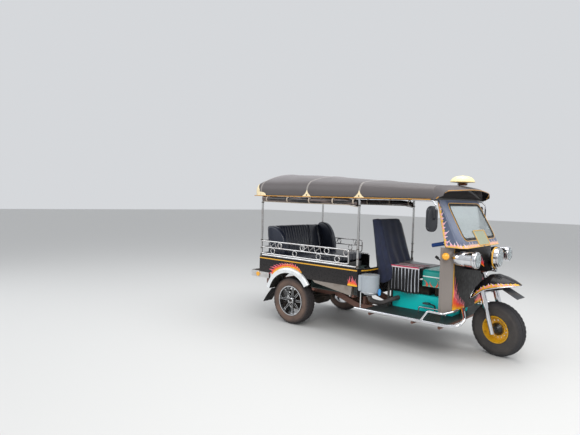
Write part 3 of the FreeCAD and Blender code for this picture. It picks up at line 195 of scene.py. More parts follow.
def grooved_tyre(name, body, hub, size, pitches, ribs, material):
    """Turns the tyre's section: beads, bulged walls with raised rings, ribs and shoulder blocks."""
    radius, width, rim = size
    half = width / 2
    wall = (radius + rim) / 2
    shoulder = 0.016
    flank = ((0.012, rim - 0.013), (0.004, rim - 0.004), (0.0035, rim + 0.004), (0.001, rim + 0.012),
             (0.0015, wall - 0.012), (0, wall), (0, wall + 0.006), (0.0025, wall + 0.009),
             (0.004, radius - 0.024), (0.007, radius - 0.016), (shoulder, radius - 0.0075))
    section = [(u - half, r) for u, r in flank]
    for k in range(1, ribs):
        for shift, depth in ((-0.0045, 0.0), (-0.003, 0.006), (0.003, 0.006), (0.0045, 0.0)):
            u = -half + shoulder + (width - 2 * shoulder) * k / ribs + shift
            section.append((u, radius - 0.0075 * (u / (half - shoulder)) ** 2 - depth))
    section += [(-u, r) for u, r in reversed(section[:len(flank)])]
    form = Form()
    for k, (c, s) in enumerate(circle(pitches * 4)):
        for u, r in section:
            if k % 4 == 0 and half * 0.45 < abs(u) < half - 0.003 and r > radius - 0.026:
                r -= 0.0045
            form.points.append(hub @ Vector((r * c, u, r * s)))
    form.grid(pitches * 4, len(section), wrap_rows=True)
    piece = form.piece(name + "_road_tyre", material, "tyre", body)
    piece.modifiers.new("edges", "EDGE_SPLIT").split_angle = radians(38)
    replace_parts(piece, name + "_tyre")


for (name, side), rubber in zip(SIDES, ("dusty road tyre rubber", "dusty left tyre rubber")):
    grooved_tyre("rear_" + name, "rear_wheel_" + name, rear_hubs[side], REAR_TYRE, 44, 5,
                 tyre_rubber(rubber, rear_hubs[side].translation, "#9c7d6a", 0.269))
grooved_tyre("front", "front_wheel", steered, FRONT_TYRE, 38, 4,
             tyre_rubber("worn front tyre rubber", steer_foot, "#5c5650", 0.258))

# Rear wheel rims. Cast alloy, the spokes in black gloss lacquer, the dished lip and the spoke
# edges left bare and machined bright. The lip starts at its own distance from the hub.

LIP_RADIUS = 0.149


def from_hub(look, x, z):
    """Distance from a wheel's axle line."""
    offset = look.add("VectorMath", "Vector", {0: look.place, 1: (1.0, 0.0, 1.0)},
                      operation="MULTIPLY")
    return look.add("VectorMath", "Value", {0: offset, 1: (x, 0.0, z)}, operation="DISTANCE")


def alloy_rim(name, centre):
    """Machined alloy on the lip, black lacquer inside it."""
    look = Finish(name)
    bright = look.add("Math", 0, {0: from_hub(look, centre[0], centre[2]), 1: LIP_RADIUS},
                      operation="GREATER_THAN")
    lathe = look.add("TexNoise", "Fac", {"Vector": look.place, "Scale": 260.0, "Detail": 2.0})
    clouds = look.add("TexNoise", "Fac", {"Vector": look.place, "Scale": 22.0, "Detail": 5.0})
    grime = look.add("ValToRGB", "Color", {"Fac": clouds}, ((0.58, 0.0), (0.78, 0.45)))
    level = look.add("MapRange", "Result", {"Value": lathe, "To Min": 0.16, "To Max": 0.34})
    shade = look.add("Mix", 2, {"Factor": bright, "A": "#141417", "B": "#cfd0d2"}, data_type="RGBA")
    blend = look.add("Mix", 2, {"Factor": grime, "A": shade, "B": "#6b5a4c"}, data_type="RGBA")
    return look.done((lathe, 0.0002, 0.3), Metallic=bright, Roughness=level, Base_Color=blend)


def dress(finish, *names):
    """Gives CAD nodes their real finish."""
    for name in names:
        slots = nodes[name].data.materials
        if not slots:
            slots.append(finish)
        for k in range(len(slots)):
            slots[k] = finish


def machined(name, colour, rough, metal=1.0, stain="#8a8078", stained=0.3):
    """Bright metal with fine working marks and faint stains."""
    look = Finish(name)
    marks = look.add("TexNoise", "Fac", {"Vector": look.place, "Scale": 240.0, "Detail": 3.0})
    clouds = look.add("TexNoise", "Fac", {"Vector": look.place, "Scale": 14.0, "Detail": 6.0})
    veil = look.add("ValToRGB", "Color", {"Fac": clouds}, ((0.5, 0.0), (0.78, stained)))
    shade = look.add("Mix", 2, {"Factor": veil, "A": colour, "B": stain}, data_type="RGBA")
    level = look.add("MapRange", "Result", {"Value": marks, "To Min": rough * 0.7,
                                            "To Max": rough * 1.5})
    return look.done((marks, 0.00015, 0.25), Base_Color=shade, Metallic=metal, Roughness=level)


# Hexagon nuts and trim are zinc plated steel: pale, slightly blue, with a soft gloss
zinc = machined("zinc plated steel", "#c9ccd0", 0.28)
polished_alloy = machined("machined wheel alloy", "#d8d9da", 0.2)


def rear_trim(name, body, hub, out):
    """Bright spoke edges, hub cap, four nuts and an air valve on the wheel's outer side."""
    form = Form()
    for k in range(8):
        turn = Matrix.Rotation(radians(45 * k), 4, "Y")
        for side in (-1, 1):
            start = len(form.points)
            for r, half in ((0.046, 0.0125), (0.158, 0.0088)):
                inner = half - 0.0035
                for u, lift in ((half, 0.0302), (inner, 0.0306), (inner, 0.0290), (half, 0.0285)):
                    form.points.append(hub @ (turn @ Vector((side * u, out * lift, r))))
            form.faces += [(start + a, start + b, start + b + 4, start + a + 4)
                           for a, b in ((0, 1), (1, 2), (3, 0))]
    cap = ((0.0, 0.056), (0.012, 0.0555), (0.02, 0.053), (0.026, 0.049), (0.028, 0.0478))
    for r, lift in cap:
        form.points += [hub @ Vector((x, out * lift, z)) for x, z in circle(24, r)]
    form.grid(len(cap), 24, wrap_columns=True)
    for degrees in (45, 135, 225, 315):
        angle = radians(degrees)
        foot = hub @ Vector((0.036 * cos(angle), out * 0.0395, 0.036 * sin(angle)))
        form.prism(foot, foot + Vector((0, out * 0.010, 0)), 0.0075, 6)
    foot = hub @ Vector((0.150, out * 0.040, 0.0))
    form.prism(foot, foot + Vector((-0.012, out * 0.016, 0)), 0.004, 8)
    form.piece(name, polished_alloy, "rim_black", body, smooth=False)


for name, side in SIDES:
    dress(alloy_rim("lacquered alloy " + name, rear_hubs[side].translation), "rear_%s_rim" % name)
    rear_trim("rear_%s_wheel_trim" % name, "rear_wheel_" + name, rear_hubs[side], side)

# Axle, springs, engine, gearbox and exhaust. Cast iron and spring steel below the tub, dull and
# oily with road dirt; the exhaust is mild steel browned by heat.


def oily_iron(name, colour, dirt, rough):
    """Cast or forged iron with a grainy skin under oil and dust."""
    look = Finish(name)
    patches = look.add("TexNoise", "Fac", {"Vector": look.place, "Scale": 12.0, "Detail": 6.0})
    cover = look.add("ValToRGB", "Color", {"Fac": patches}, ((0.42, 0.0), (0.66, 1.0)))
    clouds = look.add("TexNoise", "Fac", {"Vector": look.place, "Scale": 180.0, "Detail": 4.0})
    shade = look.add("Mix", 2, {"Factor": cover, "A": colour, "B": dirt}, data_type="RGBA")
    level = look.add("MapRange", "Result", {"Value": patches, "To Min": rough - 0.15,
                                            "To Max": rough + 0.2})
    return look.done((clouds, 0.0005, 0.5), Base_Color=shade, Metallic=0.35, Roughness=level)


iron = oily_iron("oily cast iron", "#26241f", "#4a3d33", 0.6)
dress(iron, "rear_axle", "leaf_springs", "engine_block", "gearbox")
dress(oily_iron("heat browned exhaust steel", "#4a3a30", "#6f4a36", 0.62), "exhaust")

# Chassis rails, cross tubes and steering head. Welded steel under red oxide primer that has
# weathered to a dusty brown, darker where mud has dried on it.


def paler(colour, gain, rise):
    """A lighter shade of a hex colour, in linear values."""
    return tuple(min(1.0, c * gain + rise) for c in linear(colour)[:3]) + (1.0,)


def enamel(name, colour, rough=0.22, dust="#8d8072", dust_top=0.0, dust_share=0.25, fleck=0.03,
           coat=0.35, shine=0.5):
    """Brushed or sprayed gloss enamel: slight orange peel, faint fading, dust low down."""
    look = Finish(name)
    scuff = look.add("TexNoise", "Fac", {"Vector": look.place, "Scale": 34.0, "Detail": 8.0})
    grain = look.add("TexNoise", "Fac", {"Vector": look.place, "Scale": 3.5, "Detail": 4.0})
    body = look.add("Mix", 2, {"Factor": grain, "A": colour, "B": paler(colour, 1.25, fleck)},
                    data_type="RGBA")
    height = look.add("SeparateXYZ", "Z", {0: look.place})
    low = look.add("MapRange", "Result", {"Value": height, "From Min": dust_top + 0.28,
                                          "From Max": dust_top, "To Min": 0.02, "To Max": dust_share})
    clouds = look.add("TexNoise", "Fac", {"Vector": look.place, "Scale": 420.0, "Detail": 1.0})
    share = look.add("Math", 0, {0: low, 1: scuff}, operation="MULTIPLY")
    shade = look.add("Mix", 2, {"Factor": share, "A": body, "B": dust}, data_type="RGBA")
    level = look.add("MapRange", "Result", {"Value": scuff, "From Min": 0.3, "From Max": 0.75,
                                            "To Min": rough, "To Max": rough + 0.22})
    return look.done((clouds, 0.00012, 0.3), Base_Color=shade, Roughness=level, Coat_Weight=coat,
                     Coat_Roughness=0.12, Specular_IOR_Level=shine)


dress(enamel("weathered red oxide primer", "#6b3a2e", rough=0.55, dust="#7d6657", dust_top=0.35,
             dust_share=0.9, coat=0.0), "chassis_frame")

# Driver's floor, step tubes and foot guards. The floor is sheet steel under a black ribbed
# rubber mat; the tubes along it are bent steel, chrome plated, scratched by shoes.


def ribbed_mat(name):
    """Black rubber floor mat with ribs 12 mm apart, grey with dust in the grooves."""
    look = Finish(name)
    ribs = look.add("TexWave", "Fac", {"Vector": look.place, "Scale": 13.3}, bands_direction="Y")
    clouds = look.add("TexNoise", "Fac", {"Vector": look.place, "Scale": 18.0, "Detail": 6.0})
    shade = look.add("Mix", 2, {"Factor": clouds, "A": "#1d2624", "B": "#4b5451"}, data_type="RGBA")
    colour = look.add("Mix", 2, {"Factor": ribs, "A": "#1a1d1c", "B": shade}, data_type="RGBA")
    return look.done((ribs, 0.0015, 0.8), Base_Color=colour, Roughness=0.6)


# Chrome plate on steel tube: bright, faintly warm, hazed where it is scratched
chrome = machined("chrome plated steel", "#dcdde0", 0.09, stain="#8c7f72", stained=0.25)
dress(ribbed_mat("ribbed rubber floor mat"), "driver_floor")
dress(chrome, "step_rail_right", "step_rail_left")


def at(station, y, z):
    """A point from millimetres: forward of the rear axle, to the left, above the ground."""
    return Vector((AXLE_STATION + station / 1000, y / 1000, z / 1000))


def smooth_line(spots, per_span=6, closed=False):
    """Points of a smooth line through the given spots."""
    count = len(spots)
    line = []
    for i in range(count if closed else count - 1):
        p0, p1, p2, p3 = (spots[(i + k) % count if closed else min(max(i + k, 0), count - 1)]
                          for k in (-1, 0, 1, 2))
        for k in range(per_span):
            t = k / per_span
            line.append(0.5 * ((2 * p1) + (p2 - p0) * t + (2 * p0 - 5 * p1 + 4 * p2 - p3) * t ** 2
                               + (3 * p1 - p0 - 3 * p2 + p3) * t ** 3))
    return line if closed else line + [spots[-1]]


def guard_mesh(name, side):
    """Expanded steel mesh in the foot guard, welded between the step tube and the guard tube."""
    corners = ((1640, 578, 352), (1776, 562, 352), (1785, 526, 426), (1690, 572, 428))
    a, b, c, d = (at(x, side * y, z) for x, y, z in corners)
    across, reach = 8, 5
    form = Form()
    for k in range(-reach, across):
        for lean in (1, -1):
            u0 = (k if lean > 0 else across - k) / across
            run = lean * reach / across
            ends = sorted(((0 - u0) / run, (1 - u0) / run))
            low, high = max(0.0, ends[0]), min(1.0, ends[1])
            if high - low > 0.05:
                rod = [a.lerp(b, u0 + run * t).lerp(d.lerp(c, u0 + run * t), t) for t in (low, high)]
                form.tube(rod, 0.002, 4)
    form.piece(name, iron, "chrome", smooth=False)


for name, side in SIDES:
    guard_mesh("guard_mesh_" + name, side)

# Passenger tub. Sheet steel in black gloss enamel outside and dark green-blue within, with an
# ochre coach line under its top edge and sprayed flames over the wheels and at the front corner.

TUB_SIDE = 609
LINE_HEIGHT = 722
LINE_WIDTH = 0.012
ARCH_EDGE = 354
PAINT_LAYER = 0.0003
PAINT_FILM = 0.0002
dress(enamel("black gloss enamel", "#141215", rough=0.2, dust_top=0.45, dust_share=0.12,
             fleck=0.002, coat=0.1, shine=0.3), "tub_side_right", "tub_side_left", "tub_tail",
      "tub_front")
dress(enamel("dark green floor enamel", "#0a2e2c", rough=0.5, dust_share=0.2, dust_top=0.45,
             fleck=0.004), "tub_floor")
# Ochre line enamel: a brush-ruled line, slightly uneven in tone
ochre = enamel("ochre line enamel", "#dba21f", rough=0.3, dust_share=0.1, coat=0.2)


def ribbon(name, line, up, width, outs, material=ochre, slot="paint_black"):
    """A flat painted strip along a line, its faces turned outward."""
    form = Form()
    for spot, out in zip(line, outs):
        for v, depth in ((-0.5, 0.0), (-0.5, 0.0008), (0.5, 0.0008), (0.5, 0.0)):
            form.points.append(spot + up * (v * width) + out * depth)
    form.grid(len(line), 4, wrap_columns=True)
    form.lids(len(line), 4)
    form.piece(name, material, slot, smooth=False)


def coach_line():
    """Line round the right side, the front corners and the left side of the tub."""
    corner = ((905, TUB_SIDE), (935, 548), (957, 478), (960.5, 430))
    spots = [(-484, -TUB_SIDE), (300, -TUB_SIDE)] + [(x, -y) for x, y in corner] + [(960.5, 0)]
    spots += [(x, y) for x, y in reversed(corner)]
    line = [at(x, y, LINE_HEIGHT) for x, y in spots]
    runs = [line[min(i + 1, len(line) - 1)] - line[max(i - 1, 0)] for i in range(len(line))]
    outs = [Vector((run.y, -run.x, 0)).normalized() for run in runs]
    ribbon("tub_coach_line", [p + o * 0.0006 for p, o in zip(line, outs)], UP, LINE_WIDTH, outs)


coach_line()
for name, (x0, y0), (x1, y1), out in (
        ("tub_left_line_rear", (-484, 609.6), (298, 609.6), (0, 1, 0)),
        ("tub_left_line_front", (842, 609.6), (906, 609.6), (0, 1, 0)),
        ("tub_tail_line", (-485.6, -608), (-485.6, 608), (-1, 0, 0))):
    ribbon(name, [at(x0, y0, LINE_HEIGHT), at(x1, y1, LINE_HEIGHT)], UP, LINE_WIDTH,
           [Vector(out)] * 2)


def flame_lacquer(name, *stops):
    """Airbrushed lacquer that runs from its base colour to its tip colour under clear varnish."""
    look = Finish(name)
    warmth = look.add("Attribute", "Fac", attribute_name="warmth")
    clouds = look.add("TexNoise", "Fac", {"Vector": look.place, "Scale": 60.0, "Detail": 4.0})
    drift = look.add("MapRange", "Result", {"Value": clouds, "To Min": -0.12, "To Max": 0.12})
    share = look.add("Math", 0, {0: warmth, 1: drift}, operation="ADD")
    veil = look.add("ValToRGB", "Color", {"Fac": share}, stops)
    return look.done(Base_Color=veil, Roughness=0.3, Coat_Weight=0.3)


hot_flames = flame_lacquer("yellow to pink flame lacquer", (0.0, "#f4c315"), (0.2, "#f6b417"),
                           (0.36, "#f0702a"), (0.6, "#e23a34"), (1.0, "#ee8298"))


def thicken(piece, label, thickness, offset=-1.0):
    """Gives a thin piece its thickness."""
    wall = piece.modifiers.new(label, "SOLIDIFY")
    wall.thickness = thickness
    wall.offset = offset


def flame_piece(name, base, tongues, to_surface, material, slot="paint_black", body="root",
                lift=0.0009):
    """Painted flames: a wavy band along the bottom and curling tongues that taper to a tip.

    base is (start, end, height), a tongue is (middle, width, height, shift of the tip, curl).
    to_surface turns (u, v) in millimetres into a point and an outward direction."""
    form = Form()
    warmth = []

    def strip(rows, level):
        """Each strip lies a hair over the one before, so that no two faces share a plane."""
        for u, v, warm in (spot for row in rows for spot in row):
            spot, out = to_surface(u, v)
            form.points.append(spot + out * (lift + PAINT_LAYER * level))
            warmth.append(warm)
        form.grid(len(rows), 3)
    start, end, height = base
    steps = max(4, int(abs(end - start) / 8))
    rows = []
    for k in range(steps + 1):
        u = start + (end - start) * k / steps
        fade = min(1.0, 6 * min(k, steps - k) / steps + 0.25)
        top = height * fade * (1 + 0.18 * sin(k * 1.7))
        rows.append([(u, 0.0, 0.0), (u, top * 0.5, 0.06), (u, top, 0.16)])
    strip(rows, 0)
    for number, (middle, width, tall, shift, curl) in enumerate(tongues):
        rows = []
        for t in (k / 12 for k in range(13)):
            centre = middle + shift * t ** 1.6 + curl * sin(pi * 1.5 * t) * (0.4 + t)
            half = width * 0.7 * (1 - t) ** 0.75 * (1 + 0.35 * sin(pi * 2 * t))
            v = tall * t
            rim = min(1.0, 0.02 + 1.5 * t)
            rows.append([(centre - half, v, rim), (centre, v * 1.01 + 0.2, 0.8 * rim),
                         (centre + half, v, rim)])
        strip(rows, 1 + number % 3)
    piece = form.piece(name, material, slot, body, smooth=False)
    piece.data.attributes.new("warmth", "FLOAT", "POINT").data.foreach_set("value", warmth)
    thicken(piece, "paint film", PAINT_FILM, 0.0)


ARCH_TONGUES = ((-270, 34, 60, -62, 4), (-240, 32, 92, -64, -4), (-208, 34, 96, -56, 4),
                (-174, 32, 84, -54, -3), (-140, 34, 74, -48, 4), (-106, 32, 66, -44, -3),
                (-72, 34, 60, -42, 3), (-38, 32, 54, -40, -4), (-4, 34, 52, -40, 3),
                (30, 32, 54, -38, -3), (64, 34, 58, -40, 3), (98, 30, 56, -36, -4),
                (130, 28, 44, -30, 3), (156, 22, 30, -20, -2))
CORNER_TONGUES = ((8, 18, 66, -4, 5), (26, 20, 100, -10, -5), (46, 20, 82, 6, 5),
                  (66, 20, 106, -12, 4), (84, 18, 78, 4, -4), (100, 16, 58, -6, 3))
for name, side in SIDES:
    def over_arch(u, v, side=side):
        """Along the wheel arch, and out from its edge."""
        r = ARCH_EDGE + v
        turn = u / (ARCH_EDGE + 1)
        return at(r * sin(turn), side * TUB_SIDE, 300 + r * cos(turn)), Vector((0, side, 0))

    def at_corner(u, v, side=side):
        return at(800 + u, side * TUB_SIDE, 560 + v), Vector((0, side, 0))
    flame_piece("arch_flames_" + name, (-286, 180, 34), ARCH_TONGUES, over_arch, hot_flames)
    tongues = CORNER_TONGUES if side < 0 else CORNER_TONGUES[2:]
    first = 0 if side < 0 else 44
    flame_piece("corner_flames_" + name, (first, 110, 34), tongues, at_corner, hot_flames)

# Sill boxes and mudguards. The boxes are folded aluminium sheet gone brownish; the mudguards are
# rolled steel, silver painted, over a black liner, each with a ragged sheet rubber flap.

# Mill aluminium sheet: matt, pale brown-grey from road film
dress(machined("weathered mill aluminium", "#9d948c", 0.42, metal=0.75, stain="#6c5c50", stained=0.6),
      "sill_boxes")


def flare_finish(name):
    """Silver lacquer on the rolled flare, black underseal on the liner and inside."""
    look = Finish(name)
    height = look.add("SeparateXYZ", "Y", {0: look.place})
    share = look.add("Math", 0, {0: height}, operation="ABSOLUTE")
    outer = look.add("Math", 0, {0: share, 1: 0.6085}, operation="GREATER_THAN")
    skin = look.add("Math", 0, {0: from_hub(look, AXLE_STATION, 0.3), 1: 0.2935},
                    operation="GREATER_THAN")
    show = look.add("Math", 0, {0: outer, 1: skin}, operation="MULTIPLY")
    clouds = look.add("TexNoise", "Fac", {"Vector": look.place, "Scale": 11.0, "Detail": 6.0})
    grime = look.add("ValToRGB", "Color", {"Fac": clouds}, ((0.5, 0.0), (0.75, 0.5)))
    shade = look.add("Mix", 2, {"Factor": grime, "A": "#eef1f3", "B": "#bcb9b4"}, data_type="RGBA")
    colour = look.add("Mix", 2, {"Factor": show, "A": "#17150f", "B": shade}, data_type="RGBA")
    level = look.add("MapRange", "Result", {"Value": show, "To Min": 0.8, "To Max": 0.3})
    share = look.add("Math", 0, {0: show, 1: 0.35}, operation="MULTIPLY")
    return look.done(Base_Color=colour, Roughness=level, Coat_Weight=0.2, Metallic=share)


dress(flare_finish("silver lacquered mudguard steel"), "rear_arch_right", "rear_arch_left")


def sheet_rubber(name, colour):
    """Black sheet rubber with a faint cloth imprint and dried mud splashes."""
    look = Finish(name)
    grain = look.add("TexNoise", "Fac", {"Vector": look.place, "Scale": 16.0, "Detail": 7.0})
    splash = look.add("ValToRGB", "Color", {"Fac": grain}, ((0.52, 0.0), (0.7, 0.55)))
    clouds = look.add("TexNoise", "Fac", {"Vector": look.place, "Scale": 300.0, "Detail": 2.0})
    shade = look.add("Mix", 2, {"Factor": splash, "A": colour, "B": "#6f6257"}, data_type="RGBA")
    return look.done((clouds, 0.0004, 0.5), Roughness=0.7, Base_Color=shade)


flap_rubber = sheet_rubber("black sheet rubber", "#1c1b1c")


def mud_flap(name, side):
    """Hanging flap, bowed by use, its lower edge frayed into teeth."""
    form = Form()
    columns, rows = 31, 9
    for i in range(rows):
        v = i / (rows - 1)
        for j in range(columns):
            u = j / (columns - 1)
            y = side * (604 - 150 * u)
            ragged = (4 + 9 * ((j * 7) % 5) / 4) if i == rows - 1 and j % 2 else 0
            spot = Vector((-281, y, 376)).lerp(Vector((-414, y, 198 + ragged)), v)
            bow = 9 * sin(pi * v) + 2.5 * sin(u * 9 + v * 3)
            form.points.append(at(spot.x - bow, spot.y, spot.z - bow * 0.4))
    piece = form.grid(rows, columns).piece(name, flap_rubber, "rubber")
    thicken(piece, "rubber thickness", 0.004)
    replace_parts(piece, "mud_flaps")


for name, side in SIDES:
    mud_flap("mud_flap_" + name, side)

# Rear bumper and amber lamps. The bumper is folded steel, silvered and scuffed; the lamps are
# moulded amber acrylic, ribbed inside, in bright seats.

dress(machined("scuffed silvered steel", "#d5d4d2", 0.3, metal=0.7, stain="#9a8f86", stained=0.5),
      "rear_bumper")


def amber_acrylic(name, colour):
    """Moulded lens plastic: deep orange, wet gloss, with fine prisms that show as ribs."""
    look = Finish(name)
    prisms = look.add("TexWave", "Fac", {"Vector": look.place, "Scale": 90.0}, bands_direction="Z")
    tone = look.add("Mix", 2, {"Factor": prisms, "A": colour, "B": paler(colour, 1.5, 0.03)},
                    data_type="RGBA")
    return look.done((prisms, 0.0004, 0.4), Base_Color=tone, Roughness=0.16, Coat_Weight=0.6,
                     Subsurface_Weight=0.1)


dress(amber_acrylic("amber acrylic", "#f39c14"), "amber_lamps")
seats = Form()
for side in (-1, 1):
    for middle, axis, radius in ((at(-507, side * 604, 521.5), Vector((0, side, 0)), 0.0275),
                                 (at(-644, side * 470, 521.5), Vector((-1, 0, 0)), 0.0315)):
        across = axis.cross(UP)
        rim = [middle + (across * c + UP * s) * radius for c, s in circle(24)]
        seats.tube(rim, 0.0025, 6, closed=True)
seats.piece("bumper_lamp_seats", chrome, "chrome")

# Railings round the tub. Bright stainless tube, welded, with wrought scrolls between the upper
# rails; the welds have a duller, browner tint.

RAIL_SIDE = 596
stainless = machined("welded stainless tube", "#d3d2d1", 0.17, stain="#8d6f5c", stained=0.45)
dress(stainless, "side_rail_right", "side_rail_left", "tail_rail", "canopy_posts")


def scroll_line(station, y, height, size, lean):
    """One S scroll of rod, from the middle rail up to the top rail."""
    line = []
    for k in range(25):
        way = k / 12 - 1
        curl = copysign(abs(2.2 * way) ** 1.15, way) * 1.5
        reach = size * (0.30 + 0.34 * abs(way))
        rise = way * size * 0.98 - reach * 0.2 * cos(curl) * (1 if k > 12 else -1)
        line.append(at(station + lean * way * size + reach * sin(curl) * 0.5, y, height + rise))
    return line


for name, side, clusters in (("right", -1, ((-330, 5), (170, 7))), ("left", 1, ((-330, 5), (60, 3)))):
    scrolls = Form()
    for first, count in clusters:
        for k in range(count):
            lean = 0.75 if k % 2 else -0.75
            scrolls.tube(scroll_line(first + 42 * k, side * RAIL_SIDE, 888.5, 32, lean), 0.0032, 6)
    scrolls.piece("scroll_work_" + name, stainless, "tube_bright")

# Pressed collars on the canopy posts, at the tub and under the canopy
collars = Form()
for station in (-468, 900):
    for side in (-1, 1):
        for height, tall in ((748, 26), (838, 9), (935, 9), (1380, 14)):
            foot = at(station, side * RAIL_SIDE, height)
            collars.prism(foot, at(station, side * RAIL_SIDE, height + tall), 0.0152, 18)
collars.piece("post_collars", machined("dark post collar", "#5b5650", 0.35, metal=0.7),
              "tube_bright", smooth=False)
strut = smooth_line([at(945, -585, 345), at(945, -585, 545), at(941, -568, 556),
                     at(926, -548, 558)], 4)
Form().tube(strut, 0.006, 12).piece("corner_strut", chrome, "chrome")

# Passenger bench. Plywood and foam under glossy black vinyl: a flat seat, and a leaning back with
# sewn vertical channels between plain rolled ends. Both are crowned forms pulled in at the seams.


def seat_vinyl(name, colour):
    """PVC leathercloth: black, wet sheen, fine grain 1.5 mm across and soft creases."""
    look = Finish(name)
    grain = look.add("TexVoronoi", "Distance", {"Vector": look.place, "Scale": 420.0})
    crease = look.add("TexNoise", "Fac", {"Vector": look.place, "Scale": 26.0, "Detail": 5.0,
                                          "Distortion": 1.2})
    grey = tuple(c + 0.006 for c in linear(colour)[:3]) + (1.0,)
    share = look.add("Math", 0, {0: grain, 1: 0.25, 2: crease}, operation="MULTIPLY_ADD")
    clouds = look.add("TexNoise", "Fac", {"Vector": look.place, "Scale": 6.0, "Detail": 5.0})
    shade = look.add("Mix", 2, {"Factor": clouds, "A": colour, "B": grey}, data_type="RGBA")
    level = look.add("MapRange", "Result", {"Value": crease, "To Min": 0.2, "To Max": 0.46})
    return look.done((share, 0.0012, 0.55), Base_Color=shade, Roughness=level, Coat_Weight=0.15)


black_vinyl = seat_vinyl("black leathercloth", "#0b0c11")
# The bench has the same black leathercloth, painted lighter and bluer (#181f30) as a painted bluish
# sheen.
bench_vinyl = seat_vinyl("black leathercloth with painted blue sheen", "#181f30")


def pad(name, profile, low_y, high_y, channels, material, puff, end_round=34):
    """A stuffed form: a smooth profile in the XZ plane run across the vehicle, with rounded ends.

    channels are (y, depth) sewn grooves in millimetres; puff is the crown between them."""
    loop = smooth_line([Vector((x, 0, z)) for x, z in profile], 5, closed=True)
    count = len(loop)
    middle = sum(loop, Vector()) / count
    outs = []
    for i in range(count):
        run = loop[(i + 1) % count] - loop[i - 1]
        out = Vector((run.z, 0, -run.x)).normalized()
        outs.append(out if out.dot(loop[i] - middle) > 0 else -out)
    length = high_y - low_y
    steps = max(48, int(length / 9))
    form = Form()
    for t in (k / steps for k in range(steps + 1)):
        y = low_y + length * (0.75 * t + 0.125 * (1 - cos(pi * t)))
        edge = min(y - low_y, high_y - y, end_round)
        round_in = end_round * (1 - sqrt(max(0.0, 1 - (1 - edge / end_round) ** 2)))
        groove = sum(depth * exp(-((y - spot) / 7.0) ** 2) for spot, depth in channels)
        crown = puff * (1 - (2 * t - 1) ** 2) ** 0.5
        for spot, out in zip(loop, outs):
            soft = 1.6 * noise.noise(Vector((spot.x / 70, y / 55, spot.z / 70)))
            moved = spot + out * (crown - puff - round_in - groove + soft)
            form.points.append(at(moved.x, y, moved.z))
    form.grid(steps + 1, count, wrap_columns=True)
    for row in (0, steps):
        rim = range(row * count, (row + 1) * count)
        form.points.append(sum((form.points[k] for k in rim), Vector()) / count)
        for a, b in zip(rim, [*rim[1:], rim[0]]):
            form.faces.append((a, b, len(form.points) - 1) if row else (b, a, len(form.points) - 1))
    piece = form.piece(name, material, "vinyl_black")
    return piece


bench_seat = pad(
    "bench_seat_pad", ((-330, 672), (-200, 671), (0, 671), (180, 672), (232, 690), (240, 725),
                       (228, 765), (170, 779), (0, 779), (-200, 773), (-330, 762)),
    -535, 535, [(y, 6) for y in range(-450, 451, 75)], bench_vinyl, 4)
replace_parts(bench_seat, "bench_cushion")
bench_rest = pad(
    "bench_back_pad", ((-331, 672), (-331, 720), (-336, 780), (-352, 880), (-375, 980), (-396, 1050),
                       (-412, 1090), (-440, 1104), (-474, 1098), (-478, 1070), (-462, 1010),
                       (-440, 930), (-428, 820), (-421, 672)),
    -515, 515, [(y, 9) for y in range(-330, 190, 47)] + [(-385, 12), (205, 12), (385, 12)],
    bench_vinyl, 6, 46)
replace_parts(bench_rest, "bench_back")
for name, low_y, rise in (("right", -524, 0), ("left", 448, 34)):
    pad("bench_wing_" + name,
        ((-425, 744), (-300, 740), (-190, 744), (-164, 800), (-166, 870), (-184, 950),
         (-222, 1020 + rise / 2), (-284, 1074 + rise), (-350, 1099 + rise), (-412, 1098 + rise),
         (-450, 1070 + rise / 2), (-452, 1010), (-440, 930), (-432, 830)),
        low_y, low_y + 76, [], bench_vinyl, 4, 20)
dress(seat_vinyl("plinth leathercloth", "#17171a"), "bench_base")


def welt(name, line, radius, material, slot, body="root", closed=False, sides=8):
    """Piping or a bead along a line."""
    return Form().tube(line, radius, sides, closed).piece(name, material, slot, body)


piping = ((236, -505, 768), (237, -250, 771), (237, 0, 771.5), (237, 250, 771), (236, 505, 768))
welt("bench_seat_piping", smooth_line([at(*spot) for spot in piping]), 0.004, bench_vinyl,
     "vinyl_black")

# Canopy. PVC coated canvas stretched over steel hoops and sewn along each hoop, with cream
# leathercloth patches riveted at the seam feet and ochre piping along its lower edge.

# Hoop sections: station, half width, spring height, crown height, shoulder radius
HOOPS = ((-604, 556, 1504, 1636, 78), (-590, 588, 1512, 1680, 92), (-565, 605, 1522, 1710, 104),
         (-525, 617, 1529, 1736, 112), (-480, 620, 1532, 1748, 118), (-60, 620, 1530, 1738, 119),
         (227, 620, 1528, 1718, 120), (560, 620, 1522, 1694, 118), (908, 620, 1516, 1668, 116),
         (1300, 620, 1509, 1641, 104), (1700, 620, 1502, 1612, 92))
SEAMS = (-480, 227, 908)
CANOPY_REAR, CANOPY_FRONT, CANOPY_FOOT = -604, 1700, 1464
# The visor: plan arc of its lip, and rise of its cheeks
VISOR_CENTRE, VISOR_RADIUS, CHEEK_SLOPE = -318.3, 2181.3, 0.49
COLUMNS = 61


